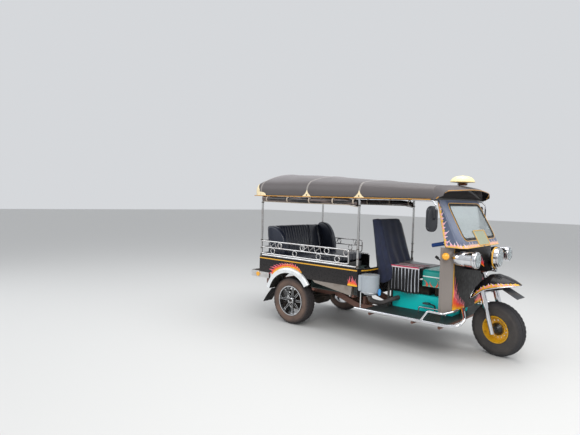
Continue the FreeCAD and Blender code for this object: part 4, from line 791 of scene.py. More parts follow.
def coated_canvas(name, colour):
    """Tarpaulin cloth: matt grey-brown with dust, weave 1.2 mm drawn at 4 mm so that it shows; the top
    is painted paler as a painted highlight, and the dust share grows there too.
    """
    look = Finish(name)
    weft, warp = (look.add("TexWave", "Fac", {"Vector": look.place, "Scale": 40.0, "Distortion": 0.4},
                           bands_direction=way) for way in "XY")
    weave = look.add("Math", 0, {0: weft, 1: warp}, operation="MULTIPLY")
    clouds = look.add("TexNoise", "Fac", {"Vector": look.place, "Scale": 4.0, "Detail": 7.0,
                                          "Roughness": 0.6})
    # Painted highlight: the top, 1.60 to 1.75 m up, is painted paler towards #9c999f in cloudy
    # patches; fade carries this painted highlight, and the dust share grows with it.
    height = look.add("SeparateXYZ", "Z", {0: look.place})
    level = look.add("MapRange", "Result", {"Value": height, "From Min": 1.60, "From Max": 1.75,
                                            "To Min": 0.0, "To Max": 1.0})
    fade = look.add("Math", 0, {0: level, 1: clouds}, operation="MULTIPLY")
    dusty = look.add("Math", 0, {0: fade, 1: 0.12, 2: 0.05}, operation="MULTIPLY_ADD")
    shade = look.add("Mix", 2, {"Factor": fade, "A": colour, "B": "#9c999f"}, data_type="RGBA")
    cover = look.add("Mix", 2, {"Factor": dusty, "A": shade, "B": "#a39a8c"}, data_type="RGBA")
    level = look.add("MapRange", "Result", {"Value": clouds, "To Min": 0.36, "To Max": 0.6})
    return look.done((weave, 0.0004, 0.35), Base_Color=cover, Roughness=level)


def hoop_at(station):
    """Section sizes between two hoops."""
    for a, b in zip(HOOPS, HOOPS[1:]):
        if station <= b[0]:
            t = max(0.0, (station - a[0]) / (b[0] - a[0]))
            return tuple(p + (q - p) * t for p, q in zip(a[1:], b[1:]))
    return HOOPS[-1][1:]


def hoop_point(station, share, sink=0.0, low=CANOPY_FOOT):
    """Point on the canopy's section: share runs from 0 at the right edge to 1 at the left."""
    half, spring, crown, radius = hoop_at(station)
    half, crown, radius = half - sink, crown - sink, radius - sink * 0.5
    reach, drop = half - radius, spring - crown
    big = (radius ** 2 - reach ** 2 - drop ** 2) / (2 * (drop + radius))
    centre_z = crown - big
    aim = atan2(spring - centre_z, reach)
    shoulder = radius * aim
    half_top = big * (pi / 2 - aim)
    run = abs(share - 0.5) * 2 * (spring - low + shoulder + half_top)
    if run <= half_top:
        angle = pi / 2 - run / big
        y, z = big * cos(angle), centre_z + big * sin(angle)
    elif run <= half_top + shoulder:
        angle = aim - (run - half_top) / radius
        y, z = reach + radius * cos(angle), spring + radius * sin(angle)
    else:
        y, z = half, max(low, spring - (run - half_top - shoulder))
    return at(station, -y if share < 0.5 else y, z)


def canopy_sheet(name, material):
    """One sheet from the rear hem round the corners to the visor, sagging between hoops."""
    shares = [j / (COLUMNS - 1) for j in range(COLUMNS)]
    form = Form()
    for down in (k / 9 for k in range(9, 0, -1)):
        for share in shares:
            spot = hoop_point(CANOPY_REAR, share)
            z = CANOPY_FOOT / 1000 + (spot.z - CANOPY_FOOT / 1000) * (1 - 0.97 * down)
            bulge = 0.0035 * sin(pi * down)
            form.points.append(Vector((spot.x + bulge, spot.y * (1 - 0.97 * down), z)))
    stations = sorted({CANOPY_REAR, -600, -594, -586, -577, -565, -550, -530, -508, -490, -480, -470,
                       *range(-440, 1690, 36), 217, 227, 237, 898, 908, 918, CANOPY_FRONT})
    for station in stations:
        near = min(abs(station - seam) for seam in SEAMS + (CANOPY_FRONT, CANOPY_REAR))
        sag = 11.0 * (1 - exp(-(near / 80) ** 1.4))
        for share in shares:
            steep = min(1.0, abs(share - 0.5) * 2.2)
            wrinkle = 1.2 * noise.noise(Vector((station / 60, share * 14, 3.0))) * min(1.0, near / 60)
            crease = 1.5 * exp(-(near / 45)) * sin(share * 90) * steep
            sink = max(0.0, sag * (0.45 + 0.55 * steep) + wrinkle + crease)
            form.points.append(hoop_point(station, share, sink))
    piece = form.grid(9 + len(stations), COLUMNS).piece(name, material, "vinyl_grey")
    thicken(piece, "cloth thickness", 0.0022, -1.0 if piece.data.polygons[0].normal.x < 0 else 1.0)
    return piece


canopy = canopy_sheet("canopy_canvas", coated_canvas("grey brown coated canvas", "#4f4a4c"))
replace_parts(canopy, "canopy_cover")
# Sewn seam over a hoop: a doubled ridge of the same cloth, painted paler along its fold as a painted
# highlight
seam_highlight_cloth = coated_canvas("seam canvas painted paler as highlight", "#8a8582")
for k, station in enumerate(SEAMS):
    tape = Form(hoop_point(station + u, j / (COLUMNS - 1), -lift) for j in range(COLUMNS)
                for u, lift in ((-11, -0.6), (-8, 1.6), (0, 2.2), (8, 1.6), (11, -0.6)))
    tape.grid(COLUMNS, 5).piece("canopy_seam_%d" % k, seam_highlight_cloth, "vinyl_grey")
# Ochre vinyl piping: round bead sewn into the hem, dulled by dust
ochre_piping = seat_vinyl("ochre vinyl piping", "#c98f35")
for name, share in (("right", 0.0), ("left", 1.0)):
    hem = [hoop_point(station, share, -0.5, 1466) for station in range(-565, CANOPY_FRONT + 1, 40)]
    welt("canopy_piping_" + name, hem, 0.0045, ochre_piping, "vinyl_grey")
rear_hem = [at(x, y, 1466) for x, y in ((-565, -603), (-592, -588), (-604, -555), (-605, 0),
                                        (-604, 555), (-592, 588), (-565, 603))]
welt("canopy_piping_rear", smooth_line(rear_hem), 0.0045, ochre_piping, "vinyl_grey")

# Cream leathercloth patch: cut by hand, stained at its edges
cream_patch = enamel("cream leathercloth patch", "#e6d3ab", rough=0.5, dust_share=0.0, coat=0.0)
# Rivets: steel, blackened by weather
rivet_black = oily_iron("blackened rivet", "#1b1714", "#3a2f28", 0.6)


def patch(name, bands, side, lift=1.4):
    """Patch glued over the canopy's side, from (height, first station, last station) bands."""
    form = Form()
    rows = [tuple(p + (q - p) * k / 4 for p, q in zip(a, b))
            for a, b in zip(bands, bands[1:]) for k in range(4)]
    for height, first, last in rows + [bands[-1]]:
        for k in range(7):
            station = first + (last - first) * k / 6
            half, spring, crown, radius = hoop_at(station)
            over = max(0.0, height - spring)
            inward = radius - sqrt(max(0.0, radius ** 2 - over ** 2))
            form.points.append(at(station, side * (half + lift - inward), height))
    piece = form.grid(len(rows) + 1, 7).piece(name, cream_patch, "vinyl_grey")
    thicken(piece, "cloth thickness", 0.0016, 0.0)


rivets = Form()
for name, side in SIDES:
    for k, seam in enumerate(SEAMS[1:]):
        patch("seam_patch_%s_%d" % (name, k),
              [(height, seam - back, seam + front) for height, back, front in (
                  (1466, 70, 68), (1484, 42, 40), (1506, 18, 18), (1524, 9, 8), (1540, 2, 2))], side)
        rivets.prism(at(seam - 2, side * 620, 1484), at(seam - 2, side * 625.5, 1484), 0.009, 14,
                     0.006)
    patch("corner_patch_" + name,
          ((1467, -572, -398), (1490, -577, -404), (1506, -580, -436), (1516, -581, -506),
           (1536, -580, -504), (1560, -577, -520), (1584, -572, -536), (1606, -562, -550)),
          side, lift=1.6)
    for station in range(-430, 1690, 142):
        rivets.prism(at(station, side * 619, 1474), at(station, side * 622.5, 1474), 0.004, 8, 0.0025)
rivets.piece("canopy_rivets", rivet_black, "vinyl_grey", smooth=False)


def visor_finish(name):
    """The canvas outside, and near-black painted shade on the faces that look down and inward."""
    look = Finish(name)
    normal = look.add("NewGeometry", "Normal")
    forward = look.add("SeparateXYZ", "Z", {0: normal})
    below = look.add("Math", 0, {0: forward, 1: 0.15}, operation="LESS_THAN")
    height = look.add("SeparateXYZ", "Y", {0: normal})
    sideways = look.add("SeparateXYZ", "Y", {0: look.place})
    facing = look.add("Math", 0, {0: height, 1: sideways}, operation="MULTIPLY")
    inward = look.add("Math", 0, {0: facing, 1: 0.02}, operation="LESS_THAN")
    clouds = look.add("TexNoise", "Fac", {"Vector": look.place, "Scale": 10.0, "Detail": 6.0})
    outside = look.add("Mix", 2, {"Factor": clouds, "A": "#3f3b3e", "B": "#6a6566"}, data_type="RGBA")
    # Painted shade: faces that look down and inward are painted near-black #0a090a.
    share = look.add("Math", 0, {0: below, 1: inward}, operation="MULTIPLY")
    shade = look.add("Mix", 2, {"Factor": share, "A": outside, "B": "#0a090a"}, data_type="RGBA")
    return look.done((clouds, 0.001, 0.3), Roughness=0.7, Base_Color=shade)


dress(visor_finish("visor canvas with painted shade"), "canopy_visor")


def skin_of(node):
    """Search tree over a CAD node's surface at rest."""
    mesh = nodes[node].data
    return BVHTree.FromPolygons([v.co.copy() for v in mesh.vertices],
                                [tuple(p.vertices) for p in mesh.polygons])


def visor_lip():
    """Line along the visor's lip: up the right cheek, round the front and down the left cheek."""
    tree = skin_of("canopy_visor")
    cheek = [(s, CANOPY_FOOT + CHEEK_SLOPE * (s - 1708)) for s in (1708, 1728, 1748)]
    line = [at(s, -622, z) for s, z in cheek]
    for y in (-614 + 1228 * k / 48 for k in range(49)):
        x = VISOR_CENTRE + sqrt(VISOR_RADIUS ** 2 - y ** 2)
        hit = tree.ray_cast(at(x, y, 1900), -UP)[0]
        if hit is not None:
            line.append(hit)
    line += [at(s, 622, z) for s, z in reversed(cheek)]
    spans = [line[max(0, i - 2):i + 3] for i in range(len(line))]
    return [sum(span, Vector()) / len(span) for span in spans]


welt("visor_piping", visor_lip(), 0.0042, ochre_piping, "vinyl_grey")
dress(enamel("black canopy frame enamel", "#161516", rough=0.4, dust_share=0.1), "canopy_frame")

# Roll-up side curtains. Clear and black vinyl sheets rolled up under the canopy's edge and held
# by straps; each is wound in loose turns round a pale rod.

STRAPS = (-380, -60, 260, 580, 840)
ROLL_REAR, ROLL_LENGTH, ROLL_HEIGHT = -452, 1.337, 1430
ROLL_TURNS = 2.15


def curtain_finish(name):
    """Curtain sheet: black vinyl with sun-browned bands of clear vinyl, seen along the roll."""
    look = Finish(name)
    stretched = look.add("VectorMath", "Vector", {0: look.place, 1: (2.2, 1.0, 26.0)},
                         operation="MULTIPLY")
    bands = look.add("TexNoise", "Fac", {"Vector": stretched, "Scale": 1.6, "Detail": 4.0})
    clear = look.add("ValToRGB", "Color", {"Fac": bands}, ((0.46, 0.0), (0.6, 0.8)))
    shade = look.add("Mix", 2, {"Factor": clear, "A": "#101012", "B": "#6d5c58"}, data_type="RGBA")
    return look.done((bands, 0.003, 0.5), Roughness=0.26, Base_Color=shade)


curtain_vinyl = curtain_finish("sun browned curtain vinyl")
# Webbing strap and lath: pale cotton tape, and a painted wooden lath
cotton_tape = enamel("worn cotton tape", "#a99c8d", rough=0.8, dust_share=0.0, coat=0.0)


def rolled_curtain(name, side):
    """Two loose turns of sheet about a long axis, squeezed at the straps and wavy between."""
    around, stations = 64, 118
    form = Form()
    for t in (i / (stations - 1) for i in range(stations)):
        x = ROLL_REAR + 1000 * ROLL_LENGTH * t
        squeeze = 1.0 - 0.16 * sum(exp(-((x - strap) / 22) ** 2) for strap in STRAPS)
        droop = 24 * max(0.0, (t - 0.84) / 0.16) ** 2
        for s in (j / (around - 1) for j in range(around)):
            angle = 2 * pi * ROLL_TURNS * s + 0.8
            r = (17 + 14 * s) * squeeze
            r += 1.8 * noise.noise(Vector((x / 45, cos(angle) * 1.6, sin(angle) * 1.6 + s * 3)))
            z = ROLL_HEIGHT - 7 * sin(pi * t) - droop + r * sin(angle)
            form.points.append(at(x, side * (RAIL_SIDE + r * cos(angle) * 0.94), z))
    piece = form.grid(stations, around).piece(name, curtain_vinyl, "vinyl_black")
    thicken(piece, "sheet thickness", 0.0009)
    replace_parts(piece, "curtain_rolls")


straps = Form()
for name, side in SIDES:
    rolled_curtain("curtain_roll_" + name, side)
    rod = [at(x, side * 605, z)
           for x, z in ((-450, 1400), (120, 1392), (500, 1393), (780, 1392), (882, 1374))]
    welt("curtain_rod_" + name, rod, 0.005, cotton_tape, "vinyl_black")
    for strap in STRAPS:
        for c, s in circle(20):
            spot = at(strap, side * (RAIL_SIDE + 31 * c), ROLL_HEIGHT - 3 + 33 * s)
            straps.points += [spot + Vector((shift, 0, 0)) for shift in (-0.009, 0.009)]
        straps.grid(20, 2, wrap_rows=True)
straps.piece("curtain_straps", cotton_tape, "vinyl_black")

# Roof sign. A blank lantern of moulded cream acrylic with a rolled rim, which stands over
# the visor on a rusty steel stub with four short legs.

SIGN_STATION, SIGN_FOOT = 1716, 1616.5


def ring_line(x, y, z, radius, count=48):
    """A level circle, in millimetres."""
    return [at(x + c, y + s, z) for c, s in circle(count, radius)]


dress(enamel("cream moulded acrylic", "#ecdca6", rough=0.28, dust_share=0.0, fleck=0.0), "roof_sign")
welt("roof_sign_rim", ring_line(SIGN_STATION, 0, 1651, 115.5), 0.0032,
     enamel("cream rim acrylic", "#e2c98a", rough=0.3, dust_share=0.0), "cream", closed=True)
stub = Form()
stub.prism(at(SIGN_STATION, 0, SIGN_FOOT), at(SIGN_STATION, 0, 1646), 0.038, 24, 0.034)
for angle in (radians(40 + 90 * k) for k in range(4)):
    foot = at(SIGN_STATION + 44 * cos(angle), 44 * sin(angle), 1619)
    stub.prism(foot, foot + UP * 0.028, 0.005, 8)
stub.piece("roof_sign_foot", oily_iron("rusty sign bracket", "#5a3220", "#8a5230", 0.7), "cream",
           smooth=False)

# Windscreen panel and plate. The panel is pressed steel in blue-grey enamel, with cream and pink
# flames inside a yellow border; the laminated pane sits in a black rubber gasket.

# The panel's flat front leans back: its outward direction and its upward direction
SLOPE = Vector((0.878837, 0.0, 0.477123))
RISE = Vector((-0.477123, 0.0, 0.878837))
PANEL_FOOT = 1030


def snapped(tree, spot):
    """Nearest surface point to a spot outside it, and the direction away from the surface."""
    hit, normal = tree.find_nearest(spot)[:2]
    away = spot - hit
    return hit, away.normalized() if away.length > 1e-4 else normal


def rounded(corners, radii, steps=6):
    """Closed outline through 2D corners, each rounded by its radius."""
    outline = []
    for i, (spot, radius) in enumerate(zip(corners, radii)):
        spot, before, after = (Vector(corners[k % len(corners)]) for k in (i, i - 1, i + 1))
        a = spot + (before - spot).normalized() * radius
        b = spot + (after - spot).normalized() * radius
        for t in (k / steps for k in range(steps + 1)):
            outline.append(a * (1 - t) ** 2 + spot * (2 * t * (1 - t)) + b * t ** 2)
    return outline


def glass_line(grow, lift):
    """The pane's outline, widened by grow and lifted off the panel's flat front, in millimetres."""
    edge = rounded(((-398 - grow, 1112 - grow), (398 + grow, 1112 - grow), (380 + grow, 1418 + grow),
                    (-380 - grow, 1418 + grow)), (60 + grow, 60 + grow, 40 + grow, 40 + grow))
    return [at(1958 - 0.542903 * (z - PANEL_FOOT), y, z) + SLOPE * (lift / 1000) for y, z in edge]


def panel_spot(z, s, side):
    """Point near the panel at a height, s millimetres from its rear edge round to the front."""
    rise = (z - PANEL_FOOT) / 434.7
    front = 1958 - 236 * rise
    back = 1773 - 93 * rise
    run = 55 - 33 * rise
    flat = front - run - back
    if s <= flat:
        return at(back + s, side * 497, z)
    corner = (run + 70) * 0.8
    turn = (s - flat) / corner
    if turn > 1:
        return at(front + 6, side * (426 - (turn - 1) * corner), z)
    angle = turn * pi / 2
    return at(front - run + (run + 6) * sin(angle), side * (496 - 70 * (1 - cos(angle))), z)


dress(enamel("blue grey enamel", "#3f4b66", rough=0.25, fleck=0.06, dust_share=0.0),
      "windscreen_panel")
pale_flames = flame_lacquer("yellow to pale pink flame lacquer", (0.0, "#e6b33a"), (0.18, "#e9bd52"),
                            (0.3, "#efa79c"), (0.6, "#f0b0c4"), (1.0, "#f7e6ee"))
EDGE_TONGUES = tuple((40 + 42 * k, 19, tall, 26, 4 if k % 2 else -4)
                     for k, tall in enumerate((62, 44, 70, 40, 56, 38, 42, 30, 28)))
FOOT_TONGUES = tuple((26 + 36 * k, 18, (44, 66, 50, 70, 46, 52, 42)[k % 7] - 0.8 * k,
                      -14 + 3 * (k % 3), 4 if k % 2 else -4) for k in range(17))
panel_tree = skin_of("windscreen_panel")
for name, side in SIDES:
    def up_edge(u, v, side=side):
        return snapped(panel_tree, panel_spot(1034 + u, v + 1.5, side))

    def along_foot(u, v, side=side):
        return snapped(panel_tree, panel_spot(1033 + v, u + 2, side))
    flame_piece("panel_edge_flames_" + name, (0, 408, 21), EDGE_TONGUES, up_edge, pale_flames,
                "paint_blue")
    flame_piece("panel_foot_flames_" + name, (0, 636, 27), FOOT_TONGUES, along_foot, pale_flames,
                "paint_blue")

# Gasket: black rubber, matt, slightly chalky, a round section pressed flat against the panel
gasket_line = glass_line(4, 0.8)
gasket = Form().tube(gasket_line, 0.012, 10, closed=True)
gasket.points = [spot - SLOPE * (0.82 * (spot - gasket_line[i // 10]).dot(SLOPE))
                 for i, spot in enumerate(gasket.points)]
gasket.piece("windscreen_gasket", sheet_rubber("black seal rubber", "#141415"), "rubber")
welt("windscreen_line", glass_line(20, 0.4), 0.0028, ochre, "paint_yellow", closed=True, sides=6)


def pane(name):
    """Laminated glass: nearly clear, faint green, a film of dust low down."""
    look = Finish(name)
    film = look.add("TexNoise", "Fac", {"Vector": look.place, "Scale": 9.0, "Detail": 6.0})
    level = look.add("MapRange", "Result", {"Value": film, "To Min": 0.02, "To Max": 0.12})
    sheen = look.add("MapRange", "Result", {"Value": film, "To Min": 0.95, "To Max": 0.72})
    return look.done(Base_Color="#dfe9ea", Roughness=level, Transmission_Weight=sheen, IOR=1.52)


dress(pane("laminated windscreen glass"), "windscreen_glass")
dress(enamel("blank plate enamel", "#959a80", rough=0.35, dust_share=0.0, coat=0.1), "number_plate")
plate_middle = at(1917.5, 25, 1112)
plate_edge = [plate_middle + Vector((0, y / 1000, 0)) + RISE * (v / 1000) + SLOPE * 0.0008
              for y, v in rounded(((-140, -75), (140, -75), (140, 75), (-140, 75)), (10,) * 4)]
welt("plate_border", plate_edge, 0.0038, ochre, "paint_yellow", closed=True, sides=6)
screws = Form()
for y in (-0.09, 0.09):
    foot = plate_middle + Vector((0, y, 0)) + RISE * 0.058
    screws.prism(foot, foot + SLOPE * 0.003, 0.0055, 12, tip_radius=0.0045)
screws.piece("plate_screws", zinc, "chrome", smooth=False)

# Leg shield and nose. Folded sheet steel: grey enamel cheeks, a black front with an ochre line
# and sprayed flames up its lower corners, and a black pressed cowl that carries the lamps.

dress(enamel("warm grey enamel", "#746c67", rough=0.3, dust_top=0.35, dust_share=0.4),
      "leg_shield_sides")
shield_black = enamel("black shield enamel", "#0b0a0c", rough=0.34, dust_top=0.35, dust_share=0.08,
                      fleck=0.001, coat=0.0, shine=0.18)
dress(shield_black, "leg_shield_front", "nose_cowl")
SHIELD_TONGUES = ((16, 34, 330, 34, 6), (18, 34, 262, 66, -6), (40, 36, 214, 60, 6),
                  (70, 36, 172, 50, -5), (100, 36, 146, 44, 5), (134, 36, 120, 38, -5),
                  (168, 34, 104, 34, 5), (202, 32, 90, 30, -4), (234, 30, 74, 24, 4),
                  (262, 26, 58, 18, -3))
COWL_TONGUES = ((8, 16, 120, 8, 4), (26, 18, 96, 14, -5), (46, 18, 132, 8, 5), (66, 16, 88, 10, -4))
shield_tree = skin_of("leg_shield_front")
cowl_tree = skin_of("nose_cowl")
red_flames = flame_lacquer("red to pink flame lacquer", (0.0, "#f4a321"), (0.2, "#ee5a24"),
                           (0.5, "#dd2a31"), (0.8, "#d9415c"), (1.0, "#efa3b6"))
for name, side in SIDES:
    def on_shield(u, v, side=side):
        return snapped(shield_tree, at(1850, side * (418 - u), 432 + v))

    def on_cowl(u, v, side=side):
        spot = at(2000 - 0.2 * v, side * (190 - u * 0.8), 822 + v)
        return snapped(cowl_tree, spot + Vector((0.03, 0, 0)))
    flame_piece("shield_band_" + name, (0, 284, 40), ((9, 26, 420, -4, 0),), on_shield, ochre,
                "paint_yellow", lift=0.0006)
    flame_piece("shield_flames_" + name, (4, 280, 26), SHIELD_TONGUES, on_shield, hot_flames,
                lift=0.0013)
    flame_piece("cowl_flames_" + name, (0, 78, 14), COWL_TONGUES, on_cowl, red_flames)
    ribbon("shield_line_" + name, [at(1835.4, side * 421, z) for z in (428, 1026)],
           Vector((0, 1, 0)), 0.007, [Vector((1, 0, 0))] * 2, slot="paint_yellow")

# Lamps. Spun steel bullets in chrome, each with a fluted glass lens over a silvered reflector;
# the middle lamp stands on a yellow ring.

dress(chrome, "headlamps")
# Moulded lamp glass: clear, faintly grey
lamp_glass = Finish("fluted lamp glass").done(Base_Color="#e8eef0", Roughness=0.04,
                                              Transmission_Weight=0.9, IOR=1.5)
silvered = machined("silvered reflector", "#eceeef", 0.14, stained=0.05)
FLUTE_PITCH = 0.011


def lamp_front(name, front, y, z, radius):
    """Lens, reflector and bezel on a lamp that faces forward."""
    centre = at(front, y, z)

    def disc(depth_at, ripple, inner, rows=7, around=72):
        form = Form()
        for i in range(rows + 1):
            for c, s in circle(around, inner * i / rows):
                lift = depth_at(i / rows) + ripple * cos(2 * pi * c / FLUTE_PITCH)
                form.points.append(centre + Vector((lift, c, s)))
        return form.grid(rows + 1, around, wrap_columns=True)
    hollow = disc(lambda t: 0.0045 - 0.003 * (1 - t * t), 0.0, radius * 0.86)
    hollow.piece(name + "_reflector", silvered, "chrome")
    dome = disc(lambda t: 0.0065 + radius * 0.16 * sqrt(max(0.0, 1 - t * t)),
                0.0006 * (radius > 0.03),
                radius * 0.87, 9)
    thicken(dome.piece(name + "_lens", lamp_glass, "glass"), "glass wall", 0.003)
    ring = [centre + Vector((0.004, c, s)) for c, s in circle(48, radius * 0.91)]
    welt(name + "_bezel", ring, radius * 0.085, chrome, "chrome", closed=True)


lamp_front("right_lamp", 2052, -446, 935, 0.076)
lamp_front("left_lamp", 2052, 446, 935, 0.076)
lamp_front("middle_lamp", 2100, 0, 931, 0.093)
lamp_front("small_lamp", 2073, 0, 815, 0.020)
welt("middle_lamp_ring", [at(2064, c, 931 + s) for c, s in circle(56, 96)], 0.0065, ochre,
     "paint_yellow", closed=True)

# Mirrors. Moulded black plastic heads with a silvered pane behind, on chrome arms that hang from
# the canopy frame.

MIRROR_SPOT, MIRROR_TURN = (1690, 612, 1290), 27
MIRROR_SQUEEZE = 0.52


def mirror_finish(name):
    """Black grained plastic on the oval heads, chrome on the arms."""
    look = Finish(name)
    x, y, z = (look.add("SeparateXYZ", letter, {0: look.place}) for letter in "XYZ")
    y = look.add("Math", 0, {0: y}, operation="ABSOLUTE")
    folded = look.add("CombineXYZ", 0, {"X": x, "Y": y, "Z": z})
    squeezed = look.add("VectorMath", "Vector", {0: folded, 1: (1.0, 1.0, MIRROR_SQUEEZE)},
                        operation="MULTIPLY")
    x, y, z = at(*MIRROR_SPOT)
    away = look.add("VectorMath", "Value", {0: squeezed, 1: (x, y, z * MIRROR_SQUEEZE)},
                    operation="DISTANCE")
    metal = look.add("Math", 0, {0: away, 1: 0.068}, operation="GREATER_THAN")
    shade = look.add("Mix", 2, {"Factor": metal, "A": "#171a22", "B": "#dcdde0"}, data_type="RGBA")
    level = look.add("MapRange", "Result", {"Value": metal, "To Min": 0.45, "To Max": 0.1})
    return look.done(Base_Color=shade, Metallic=metal, Roughness=level)


dress(mirror_finish("mirror plastic and chrome"), "mirrors")
# Back-silvered glass, and the plastic of the heads
mirror_pane = machined("mirror silvering", "#e6eaec", 0.03, stained=0.02)
mirror_plastic = enamel("grained mirror plastic", "#171a22", rough=0.42, dust_share=0.0,
                        fleck=0.004, coat=0.0)
for name, side in SIDES:
    turn = Matrix.Rotation(side * radians(MIRROR_TURN), 4, "Z")
    station, reach, height = MIRROR_SPOT
    turn = Matrix.Translation(at(station, side * reach, height)) @ turn
    for part, material, face, bulge, grow in (("shell", mirror_plastic, 0.014, 0.011, 0.0),
                                              ("pane", mirror_pane, -0.0143, -0.0012, -6.0)):
        oval = Form()
        for t in (i / 8 for i in range(9)):
            lift = face + bulge * sqrt(max(0.0, 1 - t ** 2.4))
            for c, s in circle(48):
                round_y = (55 + grow) * copysign(abs(c) ** 0.9, c) * t
                round_z = (118 + grow) * s * t * (1 - 0.06 * abs(c))
                oval.points.append(turn @ Vector((lift, round_y / 1000, round_z / 1000)))
        oval.grid(9, 48, wrap_columns=True)
        oval.piece("mirror_%s_%s" % (part, name), material, "black_plastic")

# Engine cover and console. Sheet steel boxes in two teal enamels; the hood has a white line, a few
# freehand flames and pale scallops brushed along its lower edge.

HOOD_SIDE = 232
dress(enamel("teal hood enamel", "#03958c", rough=0.3, dust_top=0.4, dust_share=0.06, fleck=0.0),
      "console_hood")
dress(enamel("bright teal box enamel", "#00d3d0", rough=0.3, dust_top=0.3, dust_share=0.06,
             fleck=0.0, coat=0.1, shine=0.3), "engine_cover")
pale_line = enamel("white line enamel", "#e9f3f0", rough=0.35, dust_share=0.0, coat=0.1)
hood_flames = flame_lacquer("orange freehand lacquer", (0.0, "#f06a2c"), (0.4, "#f0532a"),
                            (0.75, "#e6402c"), (1.0, "#f28a4a"))
scallop_pale = flame_lacquer("pale green scallop lacquer", (0.0, "#7fe0cf"), (0.5, "#38c7b4"),
                             (1.0, "#1aa898"))
HOOD_TONGUES = ((40, 16, 72, -30, 10), (92, 13, 50, -34, -7), (140, 14, 60, 26, 8),
                (196, 16, 84, -44, 13), (236, 15, 88, 24, -11))
SCALLOPS = tuple((14 + 29 * k, 26, 17, 0, 0) for k in range(10))
for name, side in SIDES:
    def on_hood(u, v, side=side):
        return at(1450 + u, side * HOOD_SIDE, 603 + v), Vector((0, side, 0))
    ribbon("hood_line_" + name, [at(x, side * (HOOD_SIDE + 0.2), 700) for x in (1444, 1745)],
           UP, 0.011, [Vector((0, side, 0))] * 2, pale_line, "paint_teal")
    flame_piece("hood_scallops_" + name, (0, 290, 9), SCALLOPS, on_hood, scallop_pale, "paint_teal")
    flame_piece("hood_flames_" + name, (8, 262, 5), HOOD_TONGUES, on_hood, hood_flames, "paint_teal",
                lift=0.0014)

# Driver's seat. Black leathercloth over foam on a welded tube frame, with a striped mat laid on
# it, a black blanket that hangs over its right edge, and a navy jacket hung on the back.

dress(enamel("black frame enamel", "#1b1a1c", rough=0.4, dust_top=0.4, dust_share=0.4),
      "driver_seat_frame")
driver_seat = pad(
    "driver_seat_pad", ((1052, 672), (1200, 671), (1400, 672), (1434, 690), (1437, 722), (1428, 760),
                        (1400, 769), (1200, 770), (1052, 768)),
    -270, 270, [(-170, 3), (170, 3)], black_vinyl, 3, 26)
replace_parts(driver_seat, "driver_cushion")
driver_rest = pad(
    "driver_back_pad", ((962, 676), (1040, 674), (1084, 690), (1089, 765), (1050, 880), (1010, 1010),
                        (975, 1120), (948, 1196), (925, 1217), (890, 1224), (873, 1214),
                        (890, 1120), (920, 960), (952, 800)),
    -240, 240,
                  [(-120, 3), (-20, 2), (75, 3), (150, 2)], black_vinyl, 5, 30)
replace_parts(driver_rest, "driver_back")


def cloth(name, colour, fade, stripes=None):
    """Woven cotton: matt, faint nap, slightly faded on its folds, or dyed by a signal of stripes."""
    look = Finish(name)
    nap = look.add("TexNoise", "Fac", {"Vector": look.place, "Scale": 900.0, "Detail": 3.0})
    if stripes:
        tone = stripes(look)
    else:
        faded = look.add("TexNoise", "Fac", {"Vector": look.place, "Scale": 18.0, "Detail": 6.0})
        tone = look.add("Mix", 2, {"Factor": faded, "A": colour, "B": fade}, data_type="RGBA")
    return look.done((nap, 0.0004, 0.5), Base_Color=tone, Roughness=0.85, Sheen_Weight=0.15)


def striped(name, period, along, *bands):
    """Cotton woven in bands: (start of the band as a share of the period, colour)."""
    def stripes(look):
        run = look.add("VectorMath", "Value", {0: look.place, 1: along}, operation="DOT_PRODUCT")
        turns = look.add("Math", 0, {0: run, 1: 1.0 / period}, operation="MULTIPLY")
        share = look.add("Math", 0, {0: turns}, operation="FRACT")
        tone = look.add("ValToRGB", "Color", {"Fac": share}, bands)
        tone.node.color_ramp.interpolation = "CONSTANT"
        return tone
    return cloth(name, None, None, stripes)


mat_stripes = striped("striped cotton mat", 0.115, (0.0, 1.0, 1.0), (0.0, "#e3dadb"),
                      (0.06, "#1d1a1e"), (0.14, "#e9dfe0"), (0.26, "#c62a55"), (0.42, "#1f1b20"),
                      (0.56, "#3f8f7e"), (0.66, "#bf2a50"), (0.80, "#2b2a2e"), (0.94, "#e3dadb"))
blanket_stripes = striped("black blanket with pale stripes", 0.0375, (1.0, 0.0, 0.02),
                          (0.0, "#141417"), (0.34, "#a9adb8"), (0.42, "#dfe1e6"),
                          (0.58, "#9ea2ad"), (0.66, "#141417"))
fringe_cotton = cloth("black cotton fringe", "#18181b", "#2c2c31")
navy = cloth("navy cotton drill", "#181c2c", "#2b3350")
pink_trim = cloth("faded pink lining", "#8e5a5c", "#b77f78")


def seat_mat():
    """Striped cotton mat, 0.30 by 0.35 m, laid askew on the cushion and over its right edge."""
    count = 34
    form = Form()
    for u, v in ((i / count, j / count) for i in range(count + 1) for j in range(count + 1)):
        x = 1084 + 334 * u + 5 * sin(v * 3 + 0.4)
        reach = 296 * v
        ripple = 1.3 * noise.noise(Vector((u * 6, v * 6, 2.0))) + 0.8 * sin(u * 16 + v * 5)
        if reach < 16:
            y, z = -283.5, 762.5 + reach
        elif reach < 24:
            turn = (reach - 16) / 8 * pi / 2
            y, z = -278.4 - 5.1 * cos(turn), 778.4 + 5.1 * sin(turn)
        else:
            y, z = -302.4 + reach, 783.5 - 5.5 * min(1.0, (reach - 24) / 60)
        form.points.append(at(x, y + 20 * u * v, z + ripple * min(1.0, reach / 40)))
    mat = form.grid(count + 1, count + 1).piece("seat_mat", mat_stripes, "cloth_stripe")
    thicken(mat, "cloth thickness", 0.002)


